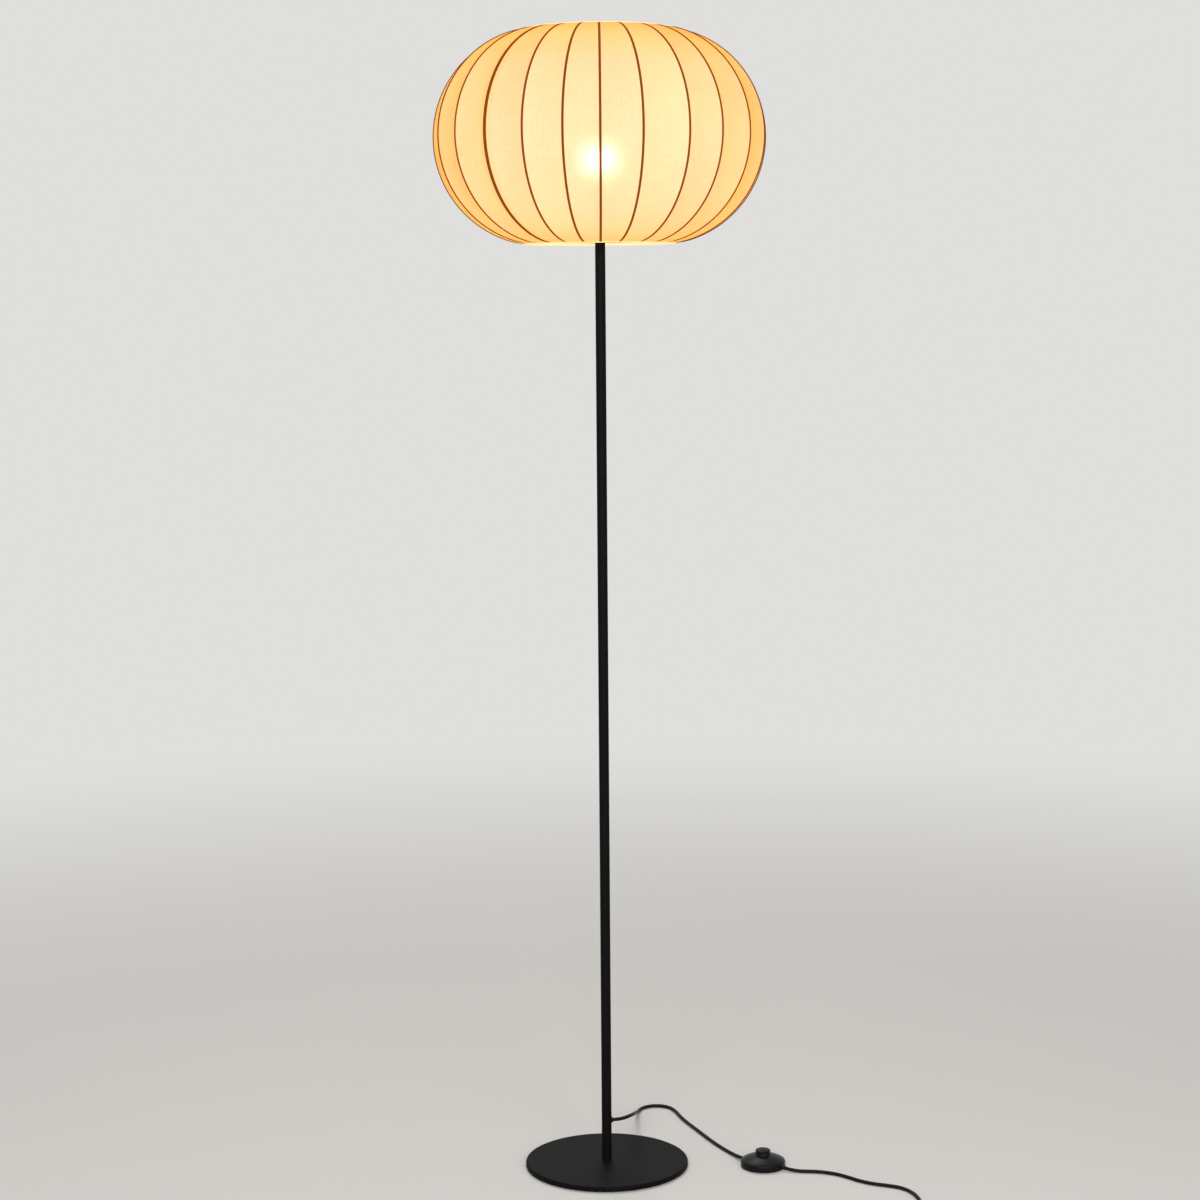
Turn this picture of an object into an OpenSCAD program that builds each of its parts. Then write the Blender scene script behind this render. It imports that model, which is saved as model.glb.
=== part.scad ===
// Lantern floor lamp: a ribbed wire shade with a gored fabric cover on a slim black pole,
// a round steel base, and a supply cord with a round foot switch and a two-pin plug.
// Millimetres, +Z up, the origin on the floor in the middle of the base.

/* [Shade] */
// Diameter over the fabric at its widest
shade_d = 450; // [400:5:500]
// Height of the circle that each rib is a part of
rib_circle_d = 288; // [250:2:320]
// Diameter of the wire hoops round both openings, at the middle of the wire
hoop_d = 206; // [180:2:224]
// Number of vertical ribs
rib_count = 24; // [12:6:30]
// Wire diameter of a rib
rib_wire_d = 2.4; // [1.8:0.1:3.2]
// Wire diameter of a hoop
hoop_wire_d = 3; // [2.4:0.1:4]
// Thickness of the fabric
fabric_t = 0.8; // [0.5:0.1:1.2]
// Width of the binding tape on top of the fabric
hem_w = 5; // [3:0.5:9]
// Thickness of the binding tape
hem_t = 0.6; // [0.4:0.1:1]

/* [Shade carrier] */
// Number of arms between the hub ring and the bottom hoop
arm_count = 3; // [3:1:4]
// Wire diameter of an arm
arm_wire_d = 3; // [2.4:0.2:4]
// Height of the hub ring over the bottom hoop
arm_drop = 36; // [26:0.5:44]
// Width of the hub ring's flat
hub_rim = 8.6; // [6:0.2:12]
// Thickness of the hub ring
hub_t = 1.6; // [1.2:0.1:2.4]

/* [Bulb] */
// Diameter of the bulb's globe
bulb_d = 60; // [50:1:64]
// Length of the bulb over all
bulb_len = 106; // [98:1:115]
// Diameter of the screw cap
bulb_cap_d = 26.4; // [26:0.1:26.4]
// Length of the screw cap
bulb_cap_len = 23; // [20:1:25]

/* [Lamp holder] */
// Outside diameter of the holder
holder_d = 39; // [37:0.5:44]
// Height of the rounded cap under the holder
holder_cap_h = 18; // [16:1:24]
// Height of the threaded sleeve
holder_sleeve_h = 38; // [34:1:46]
// Wall of the holder's cap
holder_wall = 2; // [1.6:0.2:2.4]
// Outside diameter of the two clamp rings
clamp_ring_d = 54; // [50:1:58]
// Height of a clamp ring
clamp_ring_h = 6; // [4:0.5:8]
// Distance of the lower clamp ring over the sleeve's foot
clamp_ring_up = 6.5; // [5:0.5:9]

/* [Pole] */
// Outside diameter of the pole
pole_d = 14; // [13:0.5:18]
// Wall of the pole
pole_wall = 1; // [0.8:0.1:1.2]
// Length of one of the three pole sections
section_len = 431.3; // [350:0.1:500]
// Length of a stud that joins two sections
stud_len = 40; // [30:2:60]
// Diameter of the holder's threaded nipple
nipple_d = 10; // [9:0.5:10]
// Thickness of the lock nut on the pole
nut_t = 3; // [2.5:0.5:4]

/* [Base] */
// Diameter of the base plate
base_d = 230; // [200:5:280]
// Thickness of the base plate
base_t = 7; // [6:0.5:12]
// Radius of the upper edge of the base plate
base_round = 2.5; // [1:0.5:4]
// Thickness of the foam pad under the base
pad_t = 1.2; // [0.8:0.2:3]
// Distance of the pad's edge from the plate's edge
pad_inset = 4; // [2:0.5:10]
// Diameter of the bolt that holds the pole
bolt_d = 8; // [6:1:8]
// Diameter of the washer under the bolt's head
washer_d = 22; // [18:1:26]

/* [Foot switch] */
// Diameter of the switch
switch_d = 63; // [58:1:72]
// Height of the switch's side wall over the floor
switch_side_h = 9.6; // [9:0.2:12]
// Height of the dome's crown over the floor
switch_crown_h = 18.4; // [17:0.2:22]
// Radius between the side wall and the dome
switch_round = 3.5; // [2.5:0.5:4]
// Wall of the switch's cover
switch_wall = 1.8; // [1.4:0.1:2]
// Diameter of the push button
button_d = 21; // [18:0.5:24]
// Height of the push button over the floor
button_top = 25.3; // [24:0.1:28]
// Travel of the push button
button_travel = 3.5; // [2:0.5:4]
// Wire diameter of the button's spring
spring_wire_d = 0.8; // [0.6:0.1:1]
// Number of curls of the button's spring
spring_curls = 6; // [4:1:8]

/* [Cord and plug] */
// Diameter of the supply cord
cord_d = 5; // [4.6:0.1:5.4]
// Height at which the cord leaves the pole
exit_h = 65.5; // [60:0.5:80]
// Number of loops in the coil, with the quarter loop that it ends on
coil_loops = 6.25; // [4.25:1:8.25]
// Diameter of the coil at the middle of its turns
coil_mid_d = 58; // [54:1:64]
// Free space between two turns
turn_gap = 0.5; // [0.45:0.05:1]
// Thickness of the strap that ties the coil
tie_t = 0.8; // [0.6:0.1:1]
// Width of the strap that ties the coil
tie_w = 8; // [5:0.5:12]
// Thickness of the plug
plug_t = 13.7; // [12:0.1:16]
// Widest width of the plug
plug_w = 35.3; // [33:0.1:38]
// Length of the plug's body without its sleeve
plug_len = 36; // [32:1:42]
// Length of the tapered sleeve on the plug's cord
plug_sleeve_len = 30; // [20:1:40]
// Distance between the plug's pins
pin_pitch = 18.6; // [17.5:0.1:19.2]
// Diameter of a pin's bare tip
pin_d = 4; // [3.8:0.1:4.2]
// Length of a pin
pin_len = 19; // [17:0.5:20]

/* [Hidden] */
$fn = 64;

// Clearance of pieces that fit into each other, of faces that nearly touch, and of
// the push button, and a length that runs a cut out past both faces
fit = 0.1;
touch = 0.2;
slide = 0.3;
past = 1;

// Heights up the lamp
base_top = pad_t + base_t;
pole_len = 3 * section_len;
pole_top = base_top + pole_len;
pole_r = pole_d / 2;
bore_r = pole_r - pole_wall;
cap_z = pole_top + nut_t;
sleeve_z = cap_z + holder_cap_h;
ring_z = sleeve_z + clamp_ring_up;
hub_z = ring_z + clamp_ring_h;
bottom_hoop_z = hub_z + hub_t / 2 - arm_drop;

// Each rib is a part of a circle that stands upright beside the pole's axis
arc_r = rib_circle_d / 2;
arc_c = shade_d / 2 - arc_r;
gore_step = 360 / rib_count;
cover_rows = 24;

// The ribs of the front half stand a little off their even places. Each pair is an even
// place, in degrees round from the left seam, and how far on the rib really stands
rib_shift = [
    [0, 0], [15, 2.7], [30, 2.8], [45, 3.6], [60, 3.8], [75, 2.9], [90, 0.3],
    [105, -0.5], [120, 1.2], [135, 0.4], [150, 2], [165, 4.5], [180, 0]
];
function front_angle(a) = a + lookup(a, rib_shift);
widest_gore = max([
    for (k = [0 : rib_count / 2 - 1])
        front_angle((k + 1) * gore_step) - front_angle(k * gore_step)
]);
hoop_r = hoop_d / 2;
fabric_in_r = arc_r - fabric_t;
cover_end_r = hoop_r - hoop_wire_d / 2 + 0.6;
cover_end = acos((cover_end_r - arc_c) / arc_r);
cover_step = 2 * cover_end / cover_rows;
facet_dip = fabric_in_r * (1 - cos(cover_step / 2));
rib_arc_r = fabric_in_r - facet_dip - touch - rib_wire_d / 2;
hoop_arc_r = fabric_in_r - facet_dip - slide - hoop_wire_d / 2;
hoop_dz = sqrt(pow(hoop_arc_r, 2) - pow(hoop_r - arc_c, 2));
hoop_angle = acos((hoop_r - arc_c) / hoop_arc_r);
rib_end = hoop_angle - (hoop_wire_d / 2 + touch) / rib_arc_r * 180 / PI;
shade_z = bottom_hoop_z + hoop_dz;

// Base
bolt_r = bolt_d / 2;
recess_r = washer_d / 2 + 2;
washer_t = 1.2;
bolt_head_t = 1.8;
recess_h = washer_t + bolt_head_t + 0.4;
insert_len = 30;
bolt_up = 22;

// Holder
holder_r = holder_d / 2;
nipple_r = nipple_d / 2;
nipple_bore_r = nipple_r - 1.5;
nipple_up = holder_wall + 2;
nipple_down = 12;
cap_shoulder = 12;
ledge_h = 6;
insulator_r = holder_r - 2.5;
insulator_z = sleeve_z - ledge_h;
insulator_h = 16;
sleeve_bore_r = bulb_cap_d / 2 + 0.8;
hub_in_r = holder_r + 0.8;
hub_out_r = hub_in_r + hub_rim;
core_r = 0.9;
core_x = 1.4;
terminal_r = 2;
terminal_x = 3;
terminal_h = 3.8;
sheath_end = cap_z + 5;

// Bulb
bulb_r = bulb_d / 2;
bulb_cap_r = bulb_cap_d / 2;
bulb_cap_t = 0.5;
bulb_z = sleeve_z + 14;
bulb_cap_z = bulb_z + 3;
bulb_body_z = bulb_cap_z + bulb_cap_len;
globe_z = bulb_z + bulb_len - bulb_r;
globe_t = 1;
globe_cut = 12;
globe_foot_r = sqrt(pow(bulb_r, 2) - pow(globe_cut, 2));
board_t = 1.6;
body_rim = 1.5;

// Foot switch, in its own axes: the cord runs through it along X
switch_x = 221;
switch_y = -11;
switch_turn = -36;
switch_r = switch_d / 2;
foot_gap = 1;
floor_t = 1.5;
switch_floor = foot_gap + floor_t;
cover_foot = switch_floor + 0.15;
port_z = switch_floor + cord_d / 2;
port_r = cord_d / 2 + 0.25;
dome_rise = switch_crown_h - switch_side_h;
dome_r = (pow(switch_r, 2) + pow(dome_rise, 2)) / (2 * dome_rise);
dome_c = switch_crown_h - dome_r;
button_r = button_d / 2;
button_hole_r = button_r + slide;
flange_r = button_r + 1.7;
flange_t = 1.4;
flange_top = dome_c + sqrt(pow(dome_r - switch_wall, 2) - pow(flange_r, 2)) - slide;
button_foot = flange_top - flange_t;
cup_r = 7.6;
cup_roof = button_top - 4;
crown_r = 60;
mechanism_w = 23;
mechanism_d = 18;
mechanism_z = switch_floor + 0.1;
mechanism_top = button_foot - button_travel - 0.8;
post_r = 3;
post_h = 3;
spring_r = 4.5;
spring_z = mechanism_top + touch;
spring_top = cup_roof - touch;
boss_r = 3;
boss_at = 22;
pilot_r = 1.25;
foot_r = 4;
foot_sink = 0.6;
port_out = 31.5;
cord_in = 21.5;

// Cord: points on its middle line, from the pole to the switch, from the switch to
// the coil, and from the coil to the plug
lamp_route = [
    [8, 2, 65.5], [13, 3.2, 65.5], [18, 5.3, 65.4], [23.4, 8.8, 65.4], [28.5, 13.9, 65.3],
    [33, 21.5, 64.7], [36.9, 33.1, 62.6], [38.9, 47.1, 59], [39.9, 61.1, 54.7],
    [40.5, 75, 50.4], [41.1, 89, 46.1], [41.6, 103, 41.7], [42.1, 116.9, 37.2],
    [42.7, 130.9, 32.8], [43.2, 144.8, 28.4], [43.7, 158.8, 24], [44.2, 172.8, 19.8],
    [44.8, 186.8, 15.4], [45.4, 200.6, 10.8], [46.4, 214.6, 6.5], [48.3, 228.8, 3.4],
    [50.4, 236.8, 2.6], [53, 242.6, 2.5], [56.8, 247.7, 2.5], [61.6, 251.7, 2.5],
    [67.3, 254.5, 2.6], [73.5, 255.8, 2.6], [79.8, 255.6, 2.6], [85.9, 253.8, 2.6],
    [91.9, 250.2, 2.5], [98.3, 242.9, 2.5], [104.1, 229.5, 2.5], [108, 215.4, 2.5],
    [111.8, 201.2, 2.5], [116.2, 187.2, 2.5], [121.1, 173.4, 2.5], [126.4, 159.8, 2.5],
    [131.7, 146.2, 2.5], [137, 132.5, 2.5], [142.5, 118, 2.5], [148, 103.5, 2.5],
    [154, 89, 2.5], [160, 75, 2.5], [166.5, 61, 2.5], [173.5, 47, 2.5], [180.5, 33.5, 3],
    [187.5, 19.5, 4], [196, 7, 5], [203.5, 1.5, 5]
];
wall_route = [
    [238.5, -23.5, 5], [246.5, -29.5, 5], [259, -36.5, 3.5], [273.5, -40, 2.5],
    [288.5, -41.5, 2.5], [302.5, -44.5, 2.5], [316.5, -50.5, 2.5], [328.5, -59, 2.5],
    [339, -69, 2.5], [349.5, -79.5, 2.5], [361, -88.5, 2.5], [374, -95.5, 2.5],
    [388, -101, 2.5], [401, -107.5, 2.5], [411.5, -118, 2.5], [418.5, -131, 2.5],
    [422.5, -145.5, 2.5], [424.5, -160, 2.5], [425.5, -175, 2.5], [425.5, -190, 2.5],
    [425.5, -205, 3], [425.5, -220, 3.5], [425.5, -235, 3.8]
];
plug_route_from_coil = [
    [-0.1, 0, 0], [-10, 0.1, -0.1], [-19, 1.6, -0.3], [-28, 5.1, -0.8],
    [-37, 10.1, -1.5], [-46, 14.1, -2.1], [-55, 15.6, -2.4], [-63, 15.6, -2.45]
];
cord_r = cord_d / 2;
exit_turn = atan2(lamp_route[0][1], lamp_route[0][0]);
bush_r = cord_r + 0.9;
bush_flange_r = cord_r + 1.8;
bush_out = norm([lamp_route[0][0], lamp_route[0][1]]) - fit / 2;
bend_r = 6;

// Coil: it spirals in on the lower layer and out again on the upper one
turn_pitch = cord_d + turn_gap;
coil_steps = 24;
coil_out_r = coil_mid_d / 2 + turn_pitch * coil_loops / 4;
coil_start = wall_route[len(wall_route) - 1];
coil_x = coil_start[0] - coil_out_r;
coil_y = coil_start[1] - cord_d;
coil_z = coil_start[2];
climb_half = 0.25;

function ease(s) = let (t = min(max(s, 0), 1)) t * t * (3 - 2 * t);
function coil_point(t) =
    let (from_mid = t - coil_loops / 2,
         r = coil_mid_d / 2 + turn_pitch * (abs(from_mid) - coil_loops / 4),
         up = ease((from_mid + climb_half) / (2 * climb_half)))
    [coil_x + r * cos(-360 * t), coil_y + r * sin(-360 * t), coil_z + turn_pitch * up];
coil_turns = [for (k = [0 : coil_steps * coil_loops]) coil_point(k / coil_steps)];
coil_last = coil_turns[len(coil_turns) - 1];
coil_end = coil_last - [cord_d, 0, 0];
coil_path = concat([coil_start - [0, fit, 0]], coil_turns, [coil_end]);
plug_route = [for (p = plug_route_from_coil) coil_end + p];
coil_gap = min([
    for (i = [0 : len(coil_turns) - 1])
        for (j = [i + coil_steps / 2 : len(coil_turns) - 1])
            norm(coil_turns[i] - coil_turns[j])
]) - cord_d;
echo(least_gap_of_the_coil_to_itself = coil_gap);

// Plug, in its own axes: its pins point along -X, and it lies on the floor
plug_at = plug_route[len(plug_route) - 1];
plug_z = plug_t / 2;
plug_face = plug_at[0] - touch - plug_sleeve_len - plug_len;
pin_r = pin_d / 2;
pin_root_r = pin_r - 0.6;
pin_bare = 9;
pin_sink = 4;

// A point at a distance from the shade's arc centre, as radius and height
function arc_point(r, a) = [arc_c + r * cos(a), r * sin(a)];

function along(path, k) =
    let (a = path[max(k - 1, 0)], b = path[min(k + 1, len(path) - 1)]) (b - a) / norm(b - a);

// A tube along a path: a ring of points square to each point's direction
module swept_tube(path, r, sides, turn) {
    last = len(path) - 1;
    points = [
        for (k = [0 : last])
            let (t = along(path, k), s0 = cross([0, 0, 1], t), s = s0 / norm(s0), u = cross(t, s))
            for (m = [0 : sides - 1])
                let (a = turn + 360 * m / sides) path[k] + r * (cos(a) * s + sin(a) * u)
    ];
    walls = [
        for (k = [0 : last - 1])
            for (m = [0 : sides - 1])
                let (n = (m + 1) % sides, a = k * sides, b = a + sides)
                each [[b + m, b + n, a + n], [b + m, a + n, a + m]]
    ];
    caps = [
        for (m = [1 : sides - 2])
            each [[0, m, m + 1], [last * sides, last * sides + m + 1, last * sides + m]]
    ];
    polyhedron(points, concat(walls, caps));
}

module tube(r_out, r_in, z0, z1) {
    difference() {
        translate([0, 0, z0]) cylinder(r = r_out, h = z1 - z0);
        translate([0, 0, z0 - past]) cylinder(r = r_in, h = z1 - z0 + 2 * past);
    }
}

// A rod between two points given as radius and height
module rod(p, q, d) {
    v = q - p;
    translate([p[0], 0, p[1]])
        rotate([0, atan2(v[0], v[1]), 0])
            cylinder(d = d, h = norm(v));
}

// A bend of wire in the XY plane, about the origin
module wire_bend(r, from, turn, d) {
    rotate([0, 0, from])
        rotate_extrude(angle = turn)
            translate([r, 0]) circle(d = d);
}

module at_shade() {
    translate([0, 0, shade_z]) children();
}

module at_switch() {
    translate([switch_x, switch_y, 0]) rotate([0, 0, switch_turn]) children();
}

module at_plug() {
    translate([plug_face, plug_at[1], plug_z]) children();
}

// Base: foam pad, steel plate, and the bolt that draws the pole down
module base_pad() {
    color([0.08, 0.08, 0.08])
        tube(base_d / 2 - pad_inset, recess_r + 1, 0, pad_t);
}

module base_plate() {
    r = base_d / 2;
    lower_round = 1;
    color([0.07, 0.07, 0.07])
        difference() {
            translate([0, 0, pad_t])
                rotate_extrude($fn = 128)
                    union() {
                        square([r - base_round, base_t]);
                        square([r - lower_round, base_t - base_round]);
                        translate([0, lower_round]) square([r, base_t - base_round - lower_round]);
                        translate([r - lower_round, lower_round]) circle(r = lower_round);
                        translate([r - base_round, base_t - base_round]) circle(r = base_round);
                    }
            translate([0, 0, pad_t - past]) cylinder(r = bolt_r + slide, h = base_t + 2 * past);
            translate([0, 0, pad_t - past]) cylinder(r = recess_r, h = recess_h + past);
        }
}

module base_washer() {
    top = pad_t + recess_h;
    color([0.7, 0.7, 0.72])
        tube(washer_d / 2, bolt_r + touch, top - washer_t, top);
}

module base_bolt() {
    head_z = pad_t + recess_h - washer_t - bolt_head_t;
    color([0.6, 0.6, 0.62])
        difference() {
            union() {
                translate([0, 0, head_z]) cylinder(r = bolt_r * 2, h = bolt_head_t);
                translate([0, 0, head_z + bolt_head_t])
                    cylinder(r = bolt_r, h = base_top + bolt_up - head_z - bolt_head_t);
            }
            translate([0, 0, head_z - past]) cylinder(d = bolt_d * 0.7, h = past + 1.2, $fn = 6);
        }
}

module foot_insert() {
    color([0.65, 0.65, 0.66])
        tube(bore_r - fit / 2, bolt_r + fit, base_top, base_top + insert_len);
}

// Pole: three tubes with threaded studs in them, the cord inside, and the cord's bush
module pole_section(k) {
    z = base_top + k * section_len;
    tube(pole_r, bore_r, z, z + section_len);
}

module pole_lower() {
    color([0.06, 0.06, 0.06])
        difference() {
            pole_section(0);
            translate([0, 0, exit_h])
                rotate([0, 90, exit_turn])
                    cylinder(r = bush_r + fit, h = pole_d);
        }
}

module pole_middle() {
    color([0.06, 0.06, 0.06]) pole_section(1);
}

module pole_upper() {
    color([0.06, 0.06, 0.06]) pole_section(2);
}

module pole_studs() {
    color([0.65, 0.65, 0.66])
        for (k = [1, 2]) {
            z = base_top + k * section_len;
            tube(bore_r - fit / 2, cord_r + 1.3, z - stud_len / 2, z + stud_len / 2);
        }
}

module pole_cord() {
    color([0.05, 0.05, 0.05])
        translate([0, 0, exit_h])
            rotate([0, 0, exit_turn]) {
                translate([bend_r, 0, 0])
                    rotate([0, 90, 0])
                        cylinder(r = cord_r, h = bush_out - bend_r);
                translate([bend_r, 0, bend_r])
                    rotate([90, 0, 0])
                        rotate([0, 0, 180])
                            rotate_extrude(angle = 90)
                                translate([bend_r, 0]) circle(r = cord_r);
                translate([0, 0, bend_r])
                    cylinder(r = cord_r, h = sheath_end - exit_h - bend_r);
            }
}

module cord_bush() {
    color([0.1, 0.1, 0.1])
        translate([0, 0, exit_h])
            rotate([0, 90, exit_turn])
                difference() {
                    union() {
                        translate([0, 0, bore_r - 0.8]) cylinder(r = bush_r, h = bush_out - bore_r + 0.8);
                        difference() {
                            translate([0, 0, bore_r]) cylinder(r = bush_flange_r, h = bush_out - bore_r);
                            translate([-pole_d, 0, 0])
                                rotate([0, 90, 0])
                                    cylinder(r = pole_r + fit / 2, h = 2 * pole_d);
                        }
                    }
                    cylinder(r = cord_r + fit, h = pole_d);
                }
}

// Lamp holder: nipple and nut on the pole, a rounded cap, a ceramic insert, a sleeve
module top_insert() {
    color([0.65, 0.65, 0.66])
        tube(bore_r - fit / 2, nipple_r + fit, pole_top - nipple_down - 2, pole_top);
}

module holder_nipple() {
    color([0.7, 0.7, 0.71])
        tube(nipple_r, nipple_bore_r, pole_top - nipple_down, cap_z + nipple_up);
}

module lock_nut() {
    color([0.6, 0.6, 0.6])
        difference() {
            translate([0, 0, pole_top]) cylinder(d = 1.18 * pole_d, h = nut_t, $fn = 6);
            translate([0, 0, pole_top - past]) cylinder(r = nipple_r + fit, h = nut_t + 2 * past);
        }
}

module rounded_cup(r, round_r, h) {
    rotate_extrude()
        union() {
            square([r - round_r, h]);
            translate([0, round_r]) square([r, h - round_r]);
            intersection() {
                translate([r - round_r, round_r]) circle(r = round_r);
                square([r, h]);
            }
        }
}

module holder_cap() {
    color([0.07, 0.07, 0.07])
        translate([0, 0, cap_z])
            difference() {
                rounded_cup(holder_r, cap_shoulder, holder_cap_h);
                translate([0, 0, holder_wall])
                    rounded_cup(holder_r - 2 * holder_wall, cap_shoulder - 2 * holder_wall, holder_cap_h);
                translate([0, 0, holder_cap_h - ledge_h]) cylinder(r = insulator_r + touch, h = holder_cap_h);
                translate([0, 0, -past]) cylinder(r = nipple_r + fit, h = holder_wall + 2 * past);
            }
}

module holder_cores() {
    z0 = sheath_end + fit;
    z1 = insulator_z - terminal_h - fit;
    color([0.5, 0.3, 0.15])
        for (side = [-1, 1])
            translate([side * core_x, 0, z0]) cylinder(r = core_r, h = z1 - z0);
}

module holder_insulator() {
    color([0.92, 0.9, 0.85])
        difference() {
            translate([0, 0, insulator_z]) cylinder(r = insulator_r, h = insulator_h);
            translate([0, 0, insulator_z + insulator_h - 3]) cylinder(r = 4, h = 3 + past);
        }
}

module holder_contacts() {
    top = insulator_z + insulator_h;
    reach = bulb_z - top;
    color([0.8, 0.65, 0.3]) {
        for (side = [-1, 1])
            translate([side * terminal_x, 0, insulator_z - terminal_h])
                cylinder(r = terminal_r, h = terminal_h - fit);
        translate([0, 2.5, top])
            rotate([90, 0, 0])
                linear_extrude(5)
                    polygon([
                        [-8, fit], [-5, fit], [1, reach - 0.6 - fit], [4, reach - 0.6 - fit],
                        [4, reach - fit], [0.6, reach - fit], [-5.4, fit + 0.6], [-8, fit + 0.6]
                    ]);
        translate([bulb_cap_r + fit, -2, top + fit])
            cube([0.4, 4, bulb_cap_z + 8 - top]);
    }
}

module holder_sleeve() {
    step_z = insulator_z + insulator_h + touch;
    color([0.07, 0.07, 0.07])
        difference() {
            tube(holder_r, sleeve_bore_r, sleeve_z, sleeve_z + holder_sleeve_h);
            translate([0, 0, sleeve_z - past])
                cylinder(r = insulator_r + touch, h = step_z - sleeve_z + past);
        }
}

// A clamp ring with a grip of shallow flutes round its edge
module clamp_ring(z) {
    flutes = 18;
    flute_r = 2.4;
    color([0.07, 0.07, 0.07])
        difference() {
            tube(clamp_ring_d / 2, holder_r + fit, z, z + clamp_ring_h);
            for (k = [0 : flutes - 1])
                rotate([0, 0, 360 * k / flutes])
                    translate([clamp_ring_d / 2 + flute_r * 0.6, 0, z - past])
                        cylinder(r = flute_r, h = clamp_ring_h + 2 * past, $fn = 24);
        }
}

module clamp_ring_lower() {
    clamp_ring(ring_z);
}

module clamp_ring_upper() {
    clamp_ring(hub_z + hub_t);
}

// Bulb: contact, screw cap, flared body, board and globe
module bulb_contact() {
    color([0.8, 0.8, 0.8])
        translate([0, 0, bulb_z]) {
            cylinder(r = 4.5, h = 1.2);
            translate([0, 0, 1.2]) cylinder(r1 = 6, r2 = bulb_cap_r - 2, h = 1.7);
        }
}

module bulb_cap() {
    color([0.75, 0.75, 0.77])
        difference() {
            translate([0, 0, bulb_cap_z]) cylinder(r = bulb_cap_r, h = bulb_cap_len);
            translate([0, 0, bulb_cap_z + bulb_cap_t]) cylinder(r = bulb_cap_r - bulb_cap_t, h = bulb_cap_len);
        }
}

module bulb_body() {
    neck_r = bulb_cap_r - 0.2;
    rim_z = globe_z - globe_cut;
    rise = rim_z - bulb_body_z - fit;
    color([0.95, 0.95, 0.93])
        translate([0, 0, bulb_body_z + fit])
            difference() {
                union() {
                    cylinder(r = neck_r, h = 3);
                    translate([0, 0, 3]) cylinder(r1 = neck_r, r2 = globe_foot_r, h = rise - 7);
                    translate([0, 0, rise - 4]) cylinder(r = globe_foot_r, h = 4);
                }
                translate([0, 0, rise - board_t - 0.6])
                    cylinder(r = globe_foot_r - body_rim, h = board_t + 0.6 + past);
            }
}

module bulb_board() {
    z = globe_z - globe_cut - board_t - 0.4;
    color([0.95, 0.95, 0.9])
        translate([0, 0, z])
            cylinder(r = globe_foot_r - body_rim - touch, h = board_t);
}

module bulb_globe() {
    color([1, 0.95, 0.8])
        translate([0, 0, globe_z])
            difference() {
                sphere(r = bulb_r);
                sphere(r = bulb_r - globe_t);
                translate([0, 0, -bulb_r - globe_cut + fit])
                    cube([bulb_d + 2, bulb_d + 2, 2 * bulb_r], center = true);
            }
}

// Shade carrier: a flat hub ring and bent wires that reach the bottom hoop
module shade_carrier() {
    hoop_top = bottom_hoop_z + hoop_wire_d / 2;
    arm_z = hub_z + hub_t / 2;
    end_z = hoop_top + touch + arm_wire_d / 2;
    bend_1 = [hub_out_r + 14, arm_z];
    bend_2 = [hoop_r - 15, end_z];
    slope = atan2(arm_z - end_z, bend_2[0] - bend_1[0]);
    round_r = 3 * arm_wire_d;
    back = round_r * tan(slope / 2);
    run = [cos(slope), -sin(slope)];
    // A straight run is thinner than a bend by the fit, and reaches into it by a little
    run_d = arm_wire_d - fit;
    reach = back - 0.6;
    color([0.7, 0.68, 0.62])
        union() {
            tube(hub_out_r, hub_in_r, hub_z, hub_z + hub_t);
            for (k = [0 : arm_count - 1])
                rotate([0, 0, 90 + gore_step / 2 + 360 * k / arm_count]) {
                    rod([hub_out_r - 1, arm_z], bend_1 - [reach, 0], run_d);
                    rod(bend_1 + reach * run, bend_2 - reach * run, run_d);
                    rod(bend_2 + [reach, 0], [hoop_r + 1, end_z], run_d);
                    translate([bend_1[0] - back, 0, arm_z - round_r])
                        rotate([90, 0, 0]) wire_bend(round_r, 90 - slope, slope, arm_wire_d);
                    translate([bend_2[0] + back, 0, end_z + round_r])
                        rotate([90, 0, 0]) wire_bend(round_r, 270 - slope, slope, arm_wire_d);
                }
        }
}

// Frame of the shade: two hoops, and a wire arc for each rib between them
module hoop(side) {
    color([0.25, 0.16, 0.08])
        at_shade()
            translate([0, 0, side * hoop_dz])
                rotate_extrude($fn = 96)
                    translate([hoop_r, 0]) circle(d = hoop_wire_d, $fn = 24);
}

module bottom_hoop() {
    hoop(-1);
}

module top_hoop() {
    hoop(1);
}

module shade_ribs() {
    color([0.25, 0.16, 0.08])
        at_shade()
            for (k = [0 : rib_count - 1])
                rotate([0, 0, k * gore_step < 180 ? k * gore_step : 180 + front_angle(k * gore_step - 180)])
                    translate([arc_c, 0, 0])
                        rotate([90, 0, 0])
                            rotate([0, 0, -rib_end])
                                rotate_extrude(angle = 2 * rib_end, $fn = 96)
                                    translate([rib_arc_r, 0]) circle(d = rib_wire_d, $fn = 16);
}

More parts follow.
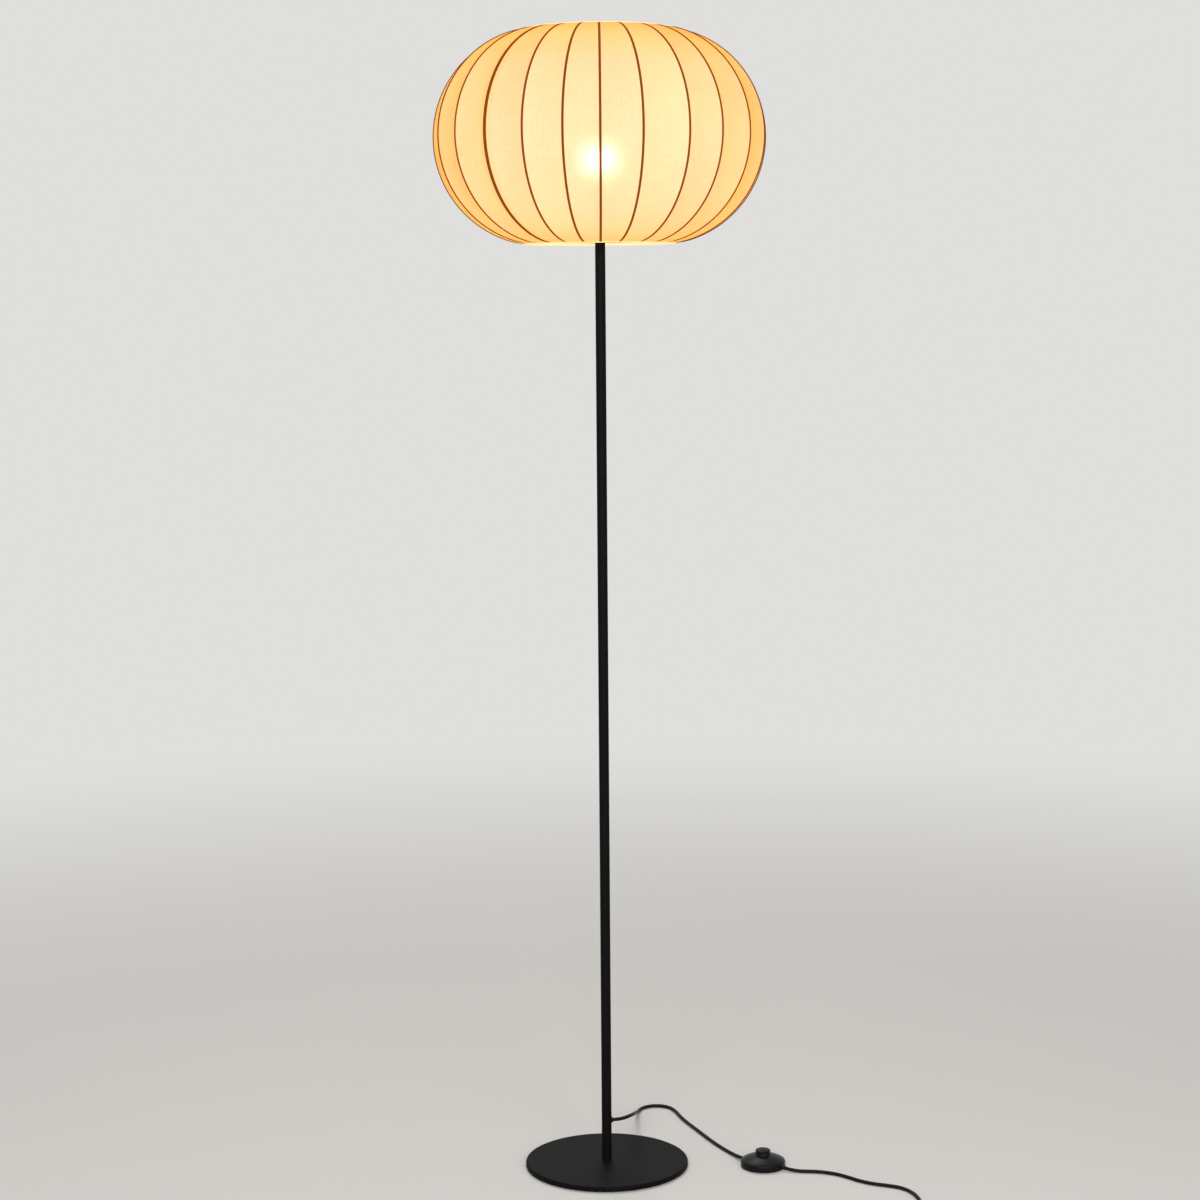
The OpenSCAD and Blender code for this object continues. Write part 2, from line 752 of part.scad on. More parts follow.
// Cover: fabric drawn straight from rib to rib, so each gore is flat across and
// curved from hoop to hoop. It is sewn in two halves, which meet at two seams over ribs,
// and takes the angles of the ribs under it
module cover_half(angles) {
    n = rib_count / 2;
    m = n + 1;
    rows = cover_rows;
    inner = (rows + 1) * m;
    points = [
        for (r = [arc_r, fabric_in_r])
            for (i = [0 : rows])
                let (p = arc_point(r, -cover_end + i * cover_step))
                for (a = angles)
                    [p[0] * cos(a), p[0] * sin(a), p[1]]
    ];
    walls = [
        for (i = [0 : rows - 1])
            for (j = [0 : n - 1])
                let (k = j + 1, a = i * m, b = a + m, c = inner + a, d = inner + b)
                each [
                    [a + j, b + j, b + k], [a + j, b + k, a + k],
                    [c + j, d + k, d + j], [c + j, c + k, d + k]
                ]
    ];
    rims = [
        for (j = [0 : n - 1])
            let (k = j + 1, t = rows * m, c = inner, d = inner + rows * m)
            each [
                [j, k, c + k], [j, c + k, c + j],
                [t + k, t + j, d + j], [t + k, d + j, d + k]
            ]
    ];
    seams = [
        for (i = [0 : rows - 1])
            let (a = i * m, b = a + m, c = inner + a, d = inner + b)
            each [
                [a, c, d], [a, d, b],
                [a + n, b + n, d + n], [a + n, d + n, c + n]
            ]
    ];
    color([0.98, 0.87, 0.6])
        translate([0, touch / 2, 0])
            polyhedron(points, concat(walls, rims, seams));
}

module cover_front() {
    angles = [for (j = [0 : rib_count / 2]) front_angle(j * gore_step)];
    at_shade() rotate([0, 0, 180]) cover_half(angles);
}

module cover_back() {
    angles = [for (j = [0 : rib_count / 2]) j * gore_step];
    at_shade() cover_half(angles);
}

// Binding tape over the edge of the fabric and down the inside of the hoop
module hem(side) {
    low = arc_r + touch;
    high = low + hem_t;
    web_r = cover_end_r * cos(widest_gore / 2) - touch;
    in_r = web_r - hem_t;
    outer_end = acos((in_r + hem_w + 4 * hem_t - arc_c) / high);
    function height_at(r, arc) = sqrt(pow(arc, 2) - pow(r - arc_c, 2));
    outer_low = arc_point(low, outer_end);
    outer_high = arc_point(high, outer_end);
    color([0.95, 0.88, 0.68])
        at_shade()
            mirror([0, 0, side > 0 ? 0 : 1])
                rotate_extrude($fn = 96)
                    polygon([
                        [in_r, hoop_dz], [web_r, hoop_dz], [web_r, height_at(web_r, low)],
                        [hoop_r, height_at(hoop_r, low)], outer_low, outer_high,
                        [hoop_r, height_at(hoop_r, high)], [in_r, height_at(in_r, high)]
                    ]);
}

module bottom_hem() {
    hem(-1);
}

module top_hem() {
    hem(1);
}

// Free cord, its coil and the strap round it
module lamp_lead() {
    color([0.05, 0.05, 0.05]) swept_tube(lamp_route, cord_r, 8, 22.5);
}

module wall_lead() {
    color([0.05, 0.05, 0.05]) swept_tube(wall_route, cord_r, 8, 22.5);
}

module plug_lead() {
    color([0.05, 0.05, 0.05]) swept_tube(plug_route, cord_r, 8, 22.5);
}

module cord_coil() {
    color([0.05, 0.05, 0.05]) swept_tube(coil_path, cord_r, 6, 30);
}

// A flat strap bent into a ring with cut corners, half the way round the coil
module coil_tie() {
    turns_out = coil_mid_d / 2 + turn_pitch * (coil_loops / 4 - 0.5) + cord_r;
    turns_in = coil_mid_d / 2 - turn_pitch * (coil_loops / 4 - 0.375) - cord_r;
    low = coil_z - cord_r - slide;
    high = coil_z + turn_pitch + cord_r + slide;
    function strap(g, c) =
        let (a = turns_in - 0.6 - g, b = turns_out + 0.6 + g, l = low - g, h = high + g)
        [[a + c, l], [b - c, l], [b, l + c], [b, h - c], [b - c, h], [a + c, h], [a, h - c], [a, l + c]];
    color([0.1, 0.1, 0.1])
        translate([coil_x, coil_y + tie_w / 2, 0])
            mirror([1, 0, 0])
                rotate([90, 0, 0])
                    difference() {
                        linear_extrude(tie_w) polygon(strap(tie_t, 1.2));
                        translate([0, 0, -past])
                            linear_extrude(tie_w + 2 * past) polygon(strap(0, 0.8));
                    }
}

// Foot switch: feet, base, domed cover, screws, mechanism, terminals, spring, button
module three_round(r) {
    for (a = [90, 210, 330])
        rotate([0, 0, a]) translate([r, 0, 0]) children();
}

module switch_feet() {
    color([0.12, 0.12, 0.12])
        at_switch()
            rotate([0, 0, 60])
                three_round(boss_at)
                    cylinder(r = foot_r, h = foot_gap + foot_sink - fit);
}

module cord_port(reach) {
    for (side = [-1, 1])
        translate([side * switch_r, 0, port_z]) {
            rotate([0, 90, 0]) cylinder(r = port_r, h = reach, center = true);
            translate([-reach / 2, -port_r, -port_z]) cube([reach, 2 * port_r, port_z]);
        }
}

module switch_base() {
    lip_out = switch_r - switch_wall - touch;
    lip_h = 1.8;
    color([0.05, 0.05, 0.05])
        at_switch()
            difference() {
                union() {
                    translate([0, 0, foot_gap]) cylinder(r = switch_r, h = floor_t);
                    difference() {
                        tube(lip_out, lip_out - 1.4, foot_gap + floor_t / 2, switch_floor + lip_h);
                        translate([-switch_d, -port_r, switch_floor])
                            cube([2 * switch_d, 2 * port_r, lip_h + past]);
                    }
                }
                three_round(boss_at) {
                    translate([0, 0, -past]) cylinder(r = pilot_r + slide, h = switch_floor + 2 * past);
                    translate([0, 0, -past]) cylinder(r = 2.9, h = past + foot_gap + 0.7);
                }
                rotate([0, 0, 60])
                    three_round(boss_at)
                        translate([0, 0, -past]) cylinder(r = foot_r + fit, h = past + foot_gap + foot_sink);
            }
}

// Outline of the dome from its axis to its side wall, drawn in by a distance
module dome_outline(inset) {
    r = switch_r - inset;
    big = dome_r - inset;
    edge = switch_round - inset;
    edge_z = dome_c + sqrt(pow(big - edge, 2) - pow(r - edge, 2));
    union() {
        intersection() {
            translate([0, dome_c]) circle(r = big, $fn = 256);
            translate([0, cover_foot]) square([(r - edge) * big / (big - edge), switch_crown_h]);
        }
        translate([0, cover_foot]) square([r, edge_z - cover_foot]);
        translate([r - edge, edge_z]) circle(r = edge);
    }
}

module switch_cover() {
    color([0.04, 0.04, 0.05])
        at_switch()
            difference() {
                union() {
                    difference() {
                        rotate_extrude($fn = 128) dome_outline(0);
                        rotate_extrude($fn = 128)
                            union() {
                                dome_outline(switch_wall);
                                square([switch_r - switch_wall, cover_foot + past]);
                            }
                        cord_port(4 * switch_wall);
                    }
                    three_round(boss_at)
                        translate([0, 0, cover_foot]) cylinder(r = boss_r, h = switch_side_h - 0.6);
                }
                translate([0, 0, switch_side_h]) cylinder(r = button_hole_r, h = switch_crown_h);
                three_round(boss_at)
                    translate([0, 0, cover_foot - past]) cylinder(r = pilot_r, h = past + 6.5);
            }
}

module switch_screws() {
    head_z = 0.5;
    head_t = foot_gap + 0.6 - head_z;
    color([0.6, 0.6, 0.6])
        at_switch()
            three_round(boss_at) {
                translate([0, 0, head_z]) cylinder(r = 2.6, h = head_t);
                translate([0, 0, head_z + head_t]) cylinder(r = pilot_r - fit, h = 6.5);
            }
}

module switch_mechanism() {
    color([0.85, 0.85, 0.82])
        at_switch() {
            translate([-mechanism_w / 2, -mechanism_d / 2, mechanism_z])
                cube([mechanism_w, mechanism_d, mechanism_top - mechanism_z]);
            translate([0, 0, mechanism_top]) cylinder(r = post_r, h = post_h);
        }
}

module switch_terminals() {
    block = [6, 5, 4.6];
    color([0.8, 0.65, 0.3])
        at_switch()
            for (sx = [-1, 1])
                for (sy = [-1, 1])
                    translate([sx * (mechanism_w / 2 + fit + block[0] / 2), sy * 3.2, mechanism_z + block[2] / 2])
                        difference() {
                            cube(block, center = true);
                            cylinder(r = 1, h = block[2], center = false);
                        }
}

module switch_cores() {
    x0 = mechanism_w / 2 + 2 * fit + 6;
    color([0.5, 0.3, 0.15])
        at_switch()
            for (sx = [-1, 1])
                for (sy = [-1, 1])
                    translate([sx * (x0 + cord_in - fit) / 2, sy * core_x, port_z])
                        rotate([0, 90, 0])
                            cylinder(r = core_r, h = cord_in - fit - x0, center = true);
}

module switch_spring() {
    rings = 8;
    wire_r = spring_wire_d / 2;
    rise = spring_top - spring_z - spring_wire_d;
    path = [
        for (k = [0 : rings * spring_curls])
            let (t = k / rings)
            [spring_r * cos(360 * t), spring_r * sin(360 * t),
             spring_z + wire_r + rise * t / spring_curls]
    ];
    color([0.75, 0.75, 0.75])
        at_switch() swept_tube(path, wire_r, 6, 30);
}

module switch_button() {
    crown_c = button_top - crown_r;
    color([0.05, 0.05, 0.06])
        at_switch()
            difference() {
                intersection() {
                    union() {
                        translate([0, 0, button_foot]) cylinder(r = flange_r, h = flange_t);
                        translate([0, 0, button_foot]) cylinder(r = button_r, h = button_top - button_foot);
                    }
                    translate([0, 0, crown_c]) sphere(r = crown_r, $fn = 200);
                }
                translate([0, 0, button_foot - past]) cylinder(r = cup_r, h = cup_roof - button_foot + past);
            }
}

// Plug: a flat body with a tapered and grooved sleeve, and two part-sheathed pins
module plug_body() {
    w = plug_w / 2;
    l = plug_len;
    outline = [
        [0, -w * 0.74], [l * 0.36, -w], [l * 0.56, -w], [l * 0.9, -w * 0.42], [l, -w * 0.38],
        [l, w * 0.38], [l * 0.9, w * 0.42], [l * 0.56, w], [l * 0.36, w], [0, w * 0.74]
    ];
    sleeve_r = cord_r + 2.6;
    color([0.05, 0.05, 0.05])
        at_plug()
            difference() {
                union() {
                    translate([0, 0, -plug_z]) linear_extrude(plug_t) polygon(outline);
                    translate([l, 0, 0])
                        rotate([0, 90, 0])
                            cylinder(r1 = sleeve_r, r2 = cord_r + 0.9, h = plug_sleeve_len);
                }
                for (k = [1 : 4])
                    translate([l + k * plug_sleeve_len / 6, 0, 0])
                        rotate([0, 90, 0])
                            difference() {
                                cylinder(r = 2 * sleeve_r, h = 1.6);
                                translate([0, 0, -past]) cylinder(r = cord_r + 0.6, h = 1.6 + 2 * past);
                            }
                for (side = [-1, 1])
                    translate([-past, side * pin_pitch / 2, 0])
                        rotate([0, 90, 0])
                            cylinder(r = pin_root_r + fit / 2, h = past + pin_sink + fit);
            }
}

module plug_insulators() {
    color([0.06, 0.06, 0.06])
        at_plug()
            for (side = [-1, 1])
                translate([0, side * pin_pitch / 2, 0])
                    rotate([0, -90, 0])
                        tube(pin_r - 0.25, pin_root_r + fit / 2, touch / 2, pin_len - pin_bare - fit);
}

module plug_pins() {
    color([0.85, 0.78, 0.5])
        at_plug()
            for (side = [-1, 1])
                translate([0, side * pin_pitch / 2, 0])
                    rotate([0, -90, 0]) {
                        translate([0, 0, -pin_sink]) cylinder(r = pin_root_r, h = pin_sink + pin_len - pin_bare);
                        translate([0, 0, pin_len - pin_bare]) cylinder(r = pin_r, h = pin_bare - 1);
                        translate([0, 0, pin_len - 1]) cylinder(r1 = pin_r, r2 = pin_r - 1, h = 1);
                    }
}

base_pad();
base_plate();
base_washer();
base_bolt();
foot_insert();
pole_lower();
pole_middle();
pole_upper();
pole_studs();
pole_cord();
cord_bush();
top_insert();
holder_nipple();
lock_nut();
holder_cap();
holder_cores();
holder_insulator();
holder_contacts();
holder_sleeve();
clamp_ring_lower();
clamp_ring_upper();
bulb_contact();
bulb_cap();
bulb_body();
bulb_board();
bulb_globe();
shade_carrier();
bottom_hoop();
top_hoop();
shade_ribs();
cover_front();
cover_back();
bottom_hem();
top_hem();
lamp_lead();
wall_lead();
cord_coil();
coil_tie();
plug_lead();
switch_feet();
switch_base();
switch_cover();
switch_screws();
switch_mechanism();
switch_terminals();
switch_cores();
switch_spring();
switch_button();
plug_body();
plug_insulators();
plug_pins();
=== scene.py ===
import math

import bmesh
import bpy
import numpy as np
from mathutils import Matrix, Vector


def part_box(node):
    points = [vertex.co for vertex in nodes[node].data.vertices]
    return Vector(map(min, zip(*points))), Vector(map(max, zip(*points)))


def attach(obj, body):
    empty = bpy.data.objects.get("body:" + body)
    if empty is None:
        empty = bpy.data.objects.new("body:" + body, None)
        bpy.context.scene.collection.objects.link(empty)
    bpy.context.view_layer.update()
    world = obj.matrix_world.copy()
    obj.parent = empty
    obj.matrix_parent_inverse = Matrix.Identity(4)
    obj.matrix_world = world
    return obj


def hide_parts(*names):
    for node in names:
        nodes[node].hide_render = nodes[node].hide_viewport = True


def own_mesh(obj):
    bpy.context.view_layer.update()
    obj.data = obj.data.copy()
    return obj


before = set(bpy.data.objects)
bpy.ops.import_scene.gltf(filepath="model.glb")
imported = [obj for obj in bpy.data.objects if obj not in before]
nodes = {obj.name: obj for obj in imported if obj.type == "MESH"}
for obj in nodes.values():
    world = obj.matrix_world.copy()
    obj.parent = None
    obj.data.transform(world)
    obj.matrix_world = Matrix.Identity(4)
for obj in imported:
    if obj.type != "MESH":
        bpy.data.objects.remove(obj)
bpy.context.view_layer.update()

# Lengths are in metres, in the lamp's own frame: the origin on the floor under the pole,
# Z up, and -Y towards the viewer. The cords' routes, the foot switch's button and spring,
# and the plug are written in millimetres.
MM = 0.001
scene = bpy.context.scene
scene.view_settings.view_transform = "Standard"
luck = np.random.default_rng(7)


# Camera

SENSOR_MM = 36
FOCAL_MM = 75.66
FAR_END = 80
CAMERA_AT = (-0.00385, -3.468, 1.216)
CAMERA_DOWN = math.radians(6.7)
CAMERA_ROLL = math.radians(-0.437)


def place_camera():
    """The photograph's view: its place, its slope, and a slight roll about its own axis."""
    lens = bpy.data.cameras.new("camera")
    lens.sensor_width = SENSOR_MM
    lens.lens = FOCAL_MM
    lens.clip_end = FAR_END
    camera = bpy.data.objects.new("camera", lens)
    scene.collection.objects.link(camera)
    camera.rotation_mode = "XYZ"
    camera.location = CAMERA_AT
    # XYZ order turns about Z last, so the roll is made by turning the view about its own Z
    a, r = math.pi / 2 - CAMERA_DOWN, CAMERA_ROLL
    slope = np.array([[1, 0, 0], [0, math.cos(a), -math.sin(a)], [0, math.sin(a), math.cos(a)]])
    roll = np.array([[math.cos(r), -math.sin(r), 0], [math.sin(r), math.cos(r), 0], [0, 0, 1]])
    turn = slope @ roll
    camera.rotation_euler = (
        math.atan2(turn[2, 1], turn[2, 2]),
        math.asin(-turn[2, 0]),
        math.atan2(turn[1, 0], turn[0, 0]),
    )
    scene.camera = camera


place_camera()


# Surfaces

def quads(rows, cols, ring_rows=False):
    """Corner numbers of the faces of a grid of points: (i, j), (i, j+1), (i+1, j+1), (i+1, j).
    Each row closes on itself, and the last row is joined to the first one if asked."""
    i = np.arange(rows if ring_rows else rows - 1)[:, None]
    i, j = np.broadcast_arrays(i, np.arange(cols)[None, :])
    k, n = (i + 1) % rows, (j + 1) % cols
    return np.stack([i * cols + j, i * cols + n, k * cols + n, k * cols + j], -1).reshape(-1, 4)


def repeated(faces, copies, points):
    """The same faces for each of several copies with so many points."""
    return (np.arange(copies)[:, None, None] * points + faces[None]).reshape(-1, 4)


def corner_uv(u, v):
    """UVs of those faces' corners, from arrays with one row and one column more than the faces."""
    u, v = np.broadcast_arrays(u, v)
    both = np.stack([u, v], -1)
    return np.stack([both[:-1, :-1], both[:-1, 1:], both[1:, 1:], both[1:, :-1]], 2).reshape(-1, 2)


def circle(steps):
    """Angles once round, without the last one, which is the first again."""
    return 2 * np.pi * np.arange(steps) / steps


def distance_along(points):
    """How far each point of a line is from its start, along it."""
    return np.concatenate([[0], np.cumsum(np.linalg.norm(np.diff(points, axis=0), axis=1))])


def face_values(obj, name, values):
    """One number for each face, in the order that the faces were made."""
    kept = obj.data.attributes.new(name, "FLOAT", "FACE")
    kept.data.foreach_set("value", values.astype(np.float32))


def piece(name, points, faces, uv=None, sharp_deg=40):
    """A mesh object at the origin. Points that coincide are merged, which closes the poles,
    and the faces are turned outwards: the sum of p0 . (p1 x p2) over them is six volumes."""
    points = points.reshape(-1, 3)
    mesh = bpy.data.meshes.new(name)
    mesh.from_pydata(points.tolist(), [], faces.tolist())
    if uv is not None:
        layer = mesh.uv_layers.new(name="lay")
        layer.data.foreach_set("uv", uv.astype(np.float32).ravel())
    p = points[faces]
    volume = np.einsum("ij,ij->", p[:, 0], np.cross(p[:, 1], p[:, 2]))
    volume += np.einsum("ij,ij->", p[:, 0], np.cross(p[:, 2], p[:, 3]))
    work = bmesh.new()
    work.from_mesh(mesh)
    bmesh.ops.remove_doubles(work, verts=work.verts, dist=1e-7)
    if volume < 0:
        bmesh.ops.reverse_faces(work, faces=work.faces)
    work.to_mesh(mesh)
    work.free()
    mesh.shade_smooth()
    mesh.set_sharp_from_angle(angle=math.radians(sharp_deg))
    made = bpy.data.objects.new(name, mesh)
    scene.collection.objects.link(made)
    return made


def tube_grid(path, radius, sides):
    """Rings square to the path: p + r(cos a S + sin a U), S level and U = T x S, with the
    first and last ring drawn together on the path to close the ends."""
    along = np.gradient(path, axis=0)
    along /= np.linalg.norm(along, axis=1, keepdims=True)
    side = np.cross([0.0, 0.0, 1.0], along)
    side /= np.linalg.norm(side, axis=1, keepdims=True)
    up = np.cross(along, side)
    a = circle(sides)[:, None]
    rings = path[:, None] + radius * (np.cos(a) * side[:, None] + np.sin(a) * up[:, None])
    ends = [np.repeat(path[k][None, None], sides, 1) for k in (0, -1)]
    return np.concatenate([ends[0], rings, ends[1]])


def tube_piece(name, path, radius, sides):
    """A round tube along a path, with UVs in metres: round it, and along it."""
    grid = tube_grid(path, radius, sides)
    run = distance_along(path)
    run = np.concatenate([[-radius], run, [run[-1] + radius]])
    around = 2 * np.pi * radius * np.arange(sides + 1) / sides
    return piece(name, grid, quads(*grid.shape[:2]), corner_uv(around[None, :], run[:, None]))


def lathe_grid(profile, turns, wave=0.0):
    """The profile's points (r, z) turned about Z: (r cos f, r sin f, z), r with a wave added."""
    f = circle(turns)
    r = np.broadcast_to(profile[:, :1] + wave, (len(profile), turns))
    z = np.broadcast_to(profile[:, 1:], r.shape)
    return np.stack([r * np.cos(f), r * np.sin(f), z], -1)


def lathe_piece(name, profile, turns, place=None, closed=False, sharp_deg=40, wave=0.0):
    """A turned piece. Its profile either closes on itself or starts and ends on the axis."""
    grid = lathe_grid(profile, turns, wave)
    if place is not None:
        grid = place(grid)
    run = distance_along(profile)
    if closed:
        run = np.append(run, run[-1] + np.linalg.norm(profile[0] - profile[-1]))
    around = np.mean(profile[:, 0]) * 2 * np.pi * np.arange(turns + 1) / turns
    uv = corner_uv(around[None, :], run[:, None])
    return piece(name, grid, quads(*grid.shape[:2], ring_rows=closed), uv, sharp_deg)


# Cords: the same routes as the solids follow

CORD_R = 2.5
CORD_SIDES = 16
STEPS_PER_LEG = 6
lamp_route = [
    [8, 2, 65.5], [13, 3.2, 65.5], [18, 5.3, 65.4], [23.4, 8.8, 65.4], [28.5, 13.9, 65.3],
    [33, 21.5, 64.7], [36.9, 33.1, 62.6], [38.9, 47.1, 59], [39.9, 61.1, 54.7],
    [40.5, 75, 50.4], [41.1, 89, 46.1], [41.6, 103, 41.7], [42.1, 116.9, 37.2],
    [42.7, 130.9, 32.8], [43.2, 144.8, 28.4], [43.7, 158.8, 24], [44.2, 172.8, 19.8],
    [44.8, 186.8, 15.4], [45.4, 200.6, 10.8], [46.4, 214.6, 6.5], [48.3, 228.8, 3.4],
    [50.4, 236.8, 2.6], [53, 242.6, 2.5], [56.8, 247.7, 2.5], [61.6, 251.7, 2.5],
    [67.3, 254.5, 2.6], [73.5, 255.8, 2.6], [79.8, 255.6, 2.6], [85.9, 253.8, 2.6],
    [91.9, 250.2, 2.5], [98.3, 242.9, 2.5], [104.1, 229.5, 2.5], [108, 215.4, 2.5],
    [111.8, 201.2, 2.5], [116.2, 187.2, 2.5], [121.1, 173.4, 2.5], [126.4, 159.8, 2.5],
    [131.7, 146.2, 2.5], [137, 132.5, 2.5], [142.5, 118, 2.5], [148, 103.5, 2.5],
    [154, 89, 2.5], [160, 75, 2.5], [166.5, 61, 2.5], [173.5, 47, 2.5], [180.5, 33.5, 3],
    [187.5, 19.5, 4], [196, 7, 5], [203.5, 1.5, 5],
]
wall_route = [
    [238.5, -23.5, 5], [246.5, -29.5, 5], [259, -36.5, 3.5], [273.5, -40, 2.5],
    [288.5, -41.5, 2.5], [302.5, -44.5, 2.5], [316.5, -50.5, 2.5], [328.5, -59, 2.5],
    [339, -69, 2.5], [349.5, -79.5, 2.5], [361, -88.5, 2.5], [374, -95.5, 2.5],
    [388, -101, 2.5], [401, -107.5, 2.5], [411.5, -118, 2.5], [418.5, -131, 2.5],
    [422.5, -145.5, 2.5], [424.5, -160, 2.5], [425.5, -175, 2.5], [425.5, -190, 2.5],
    [425.5, -205, 3], [425.5, -220, 3.5], [425.5, -235, 3.8],
]
plug_route_from_coil = [
    [0, 0, 0], [-10, 0.1, -0.1], [-19, 1.6, -0.3], [-28, 5.1, -0.8],
    [-37, 10.1, -1.5], [-46, 14.1, -2.1], [-55, 15.6, -2.4], [-63, 15.6, -2.45],
]
COIL_LOOPS = 6.25
COIL_MID_R = 29.0
COIL_STEPS = 40
TURN_PITCH = 5.5
# The part of a loop over which the coil eases up from its lower layer to its upper one
EASE_LOOPS = 0.5


def smooth_route(route_mm):
    """A curve through the route's points, in metres. Between b and c, with neighbours a and d:
    p(t) = (2b + (c - a)t + (2a - 5b + 4c - d)t^2 + (3b - a - 3c + d)t^3) / 2."""
    p = np.asarray(route_mm, float)
    p = np.vstack([2 * p[0] - p[1], p, 2 * p[-1] - p[-2]])
    a, b, c, d = (p[k : len(p) - 3 + k, None, :] for k in range(4))
    t = (np.arange(STEPS_PER_LEG) / STEPS_PER_LEG)[None, :, None]
    curve = (2 * b + (c - a) * t + (2 * a - 5 * b + 4 * c - d) * t**2 + (3 * b - a - 3 * c + d) * t**3) / 2
    curve = np.vstack([curve.reshape(-1, 3), p[-2:-1]])
    curve[:, 2] = np.maximum(curve[:, 2], CORD_R)
    return curve * MM


def coil_points():
    """In on the lower layer and out again on the upper one. At t loops, from_mid = t - n/2:
    r = mid + pitch(|from_mid| - n/4), the angle is -360 t, and z eases up by one pitch."""
    start = np.array(wall_route[-1], float)
    out_r = COIL_MID_R + TURN_PITCH * COIL_LOOPS / 4
    centre = start - [out_r, 2 * CORD_R, 0]
    t = np.arange(int(COIL_STEPS * COIL_LOOPS) + 1) / COIL_STEPS
    from_mid = t - COIL_LOOPS / 2
    r = COIL_MID_R + TURN_PITCH * (np.abs(from_mid) - COIL_LOOPS / 4)
    s = np.clip((from_mid + EASE_LOOPS / 2) / EASE_LOOPS, 0, 1)
    up = TURN_PITCH * s * s * (3 - 2 * s)
    return centre + np.stack([r * np.cos(-2 * np.pi * t), r * np.sin(-2 * np.pi * t), up], -1)


coil_turns = coil_points()
coil_end = coil_turns[-1] - [2 * CORD_R, 0, 0]
plug_route = coil_end + np.array(plug_route_from_coil)

lamp_path = smooth_route(lamp_route)
wall_path = smooth_route(wall_route)
plug_path = smooth_route(plug_route)
supply_path = np.vstack([wall_path, coil_turns * MM, plug_path])

cord_to_switch = tube_piece("cord_to_switch", lamp_path, CORD_R * MM, CORD_SIDES)
cord_to_plug = tube_piece("cord_to_plug", supply_path, CORD_R * MM, CORD_SIDES)


# Materials

# The values between which a noise mostly lies
NOISE_RANGE = (0.3, 0.7)
CLOUD_SCALE = 18.0


def fill(tree, node, **sockets):
    """Links or sets a node's sockets. A name like s0 is a socket by number."""
    for key, value in sockets.items():
        socket = node.inputs[int(key[1:]) if key[1:].isdigit() else key.replace("_", " ")]
        if isinstance(value, bpy.types.NodeSocket):
            tree.links.new(value, socket)
        else:
            socket.default_value = value


def add(tree, kind, settings=(), **sockets):
    """A new node with its settings and sockets."""
    node = tree.nodes.new(kind)
    for key, value in dict(settings).items():
        setattr(node, key, value)
    fill(tree, node, **sockets)
    return node


def rgba(colour):
    return (*colour, 1.0)


def blank(name):
    """A material with only its Principled node and output, and that tree and node."""
    material = bpy.data.materials.new(name)
    material.use_nodes = True
    tree = material.node_tree
    return material, tree, tree.nodes["Principled BSDF"]


def object_place(tree):
    return add(tree, "ShaderNodeTexCoord").outputs["Object"]


def laid_out(tree):
    """The piece's UVs: together, and each by itself."""
    lay = add(tree, "ShaderNodeUVMap", {"uv_map": "lay"}).outputs[0]
    split = add(tree, "ShaderNodeSeparateXYZ", Vector=lay)
    return lay, split.outputs[0], split.outputs[1]


def face_value(tree, name):
    return add(tree, "ShaderNodeAttribute", {"attribute_name": name}).outputs["Fac"]


def noise(tree, coordinates, scale, detail=3.0, roughness=0.55, stretch=None):
    """Noise in [0, 1] at so many features a metre, drawn out along an axis if asked."""
    if stretch is not None:
        coordinates = add(tree, "ShaderNodeMapping", Vector=coordinates, Scale=stretch).outputs[0]
    return add(
        tree, "ShaderNodeTexNoise", Vector=coordinates, Scale=scale, Detail=detail, Roughness=roughness
    ).outputs[0]


def blend_colour(tree, amount, low, high, kind="MIX"):
    """low where the amount is 0, and high where it is 1."""
    low, high = (end if isinstance(end, bpy.types.NodeSocket) else rgba(end) for end in (low, high))
    settings = {"data_type": "RGBA", "blend_type": kind}
    return add(tree, "ShaderNodeMix", settings, s0=amount, s6=low, s7=high).outputs[2]


def remap(tree, value, a, b, c=0.0, d=1.0, smooth=False):
    """From [a, b] to [c, d], held at the ends."""
    settings = {"interpolation_type": "SMOOTHSTEP" if smooth else "LINEAR"}
    return add(tree, "ShaderNodeMapRange", settings, s0=value, s1=a, s2=b, s3=c, s4=d).outputs[0]


def math_node(tree, operation, a, b=0.0):
    return add(tree, "ShaderNodeMath", {"operation": operation}, s0=a, s1=b).outputs[0]


def weighted(tree, a, share, b):
    """A share of a, and the rest of b."""
    return math_node(
        tree, "ADD", math_node(tree, "MULTIPLY", a, share), math_node(tree, "MULTIPLY", b, 1 - share)
    )


def phase(tree, distance, pitch):
    """An angle that goes round once over each pitch."""
    return math_node(tree, "MULTIPLY", distance, 2 * math.pi / pitch)


def bump(tree, height, depth_mm, under=None):
    """A bump whose height of 1 stands for depth_mm, over another bump if one is given."""
    sockets = {"Height": height, "Distance": depth_mm * MM, "Strength": 1.0}
    if under is not None:
        sockets["Normal"] = under
    return add(tree, "ShaderNodeBump", **sockets).outputs[0]


def surface(name, colour, second, grain, rough, depth_mm, **sockets):
    """A solid finish: two tones in slow clouds and fine grain, roughness that varies with
    the grain, and a fine bump. The other sockets are set on the shader itself."""
    material, tree, shader = blank(name)
    place = object_place(tree)
    fine = noise(tree, place, grain, detail=4.0, roughness=0.6)
    slow = noise(tree, place, CLOUD_SCALE, detail=2.0)
    tone = weighted(tree, fine, 0.5, slow)
    fill(
        tree, shader, **sockets,
        Base_Color=blend_colour(tree, remap(tree, tone, 0.35, 0.65), colour, second),
        Roughness=remap(tree, fine, *NOISE_RANGE, *rough),
        Normal=bump(tree, fine, depth_mm),
    )
    return material


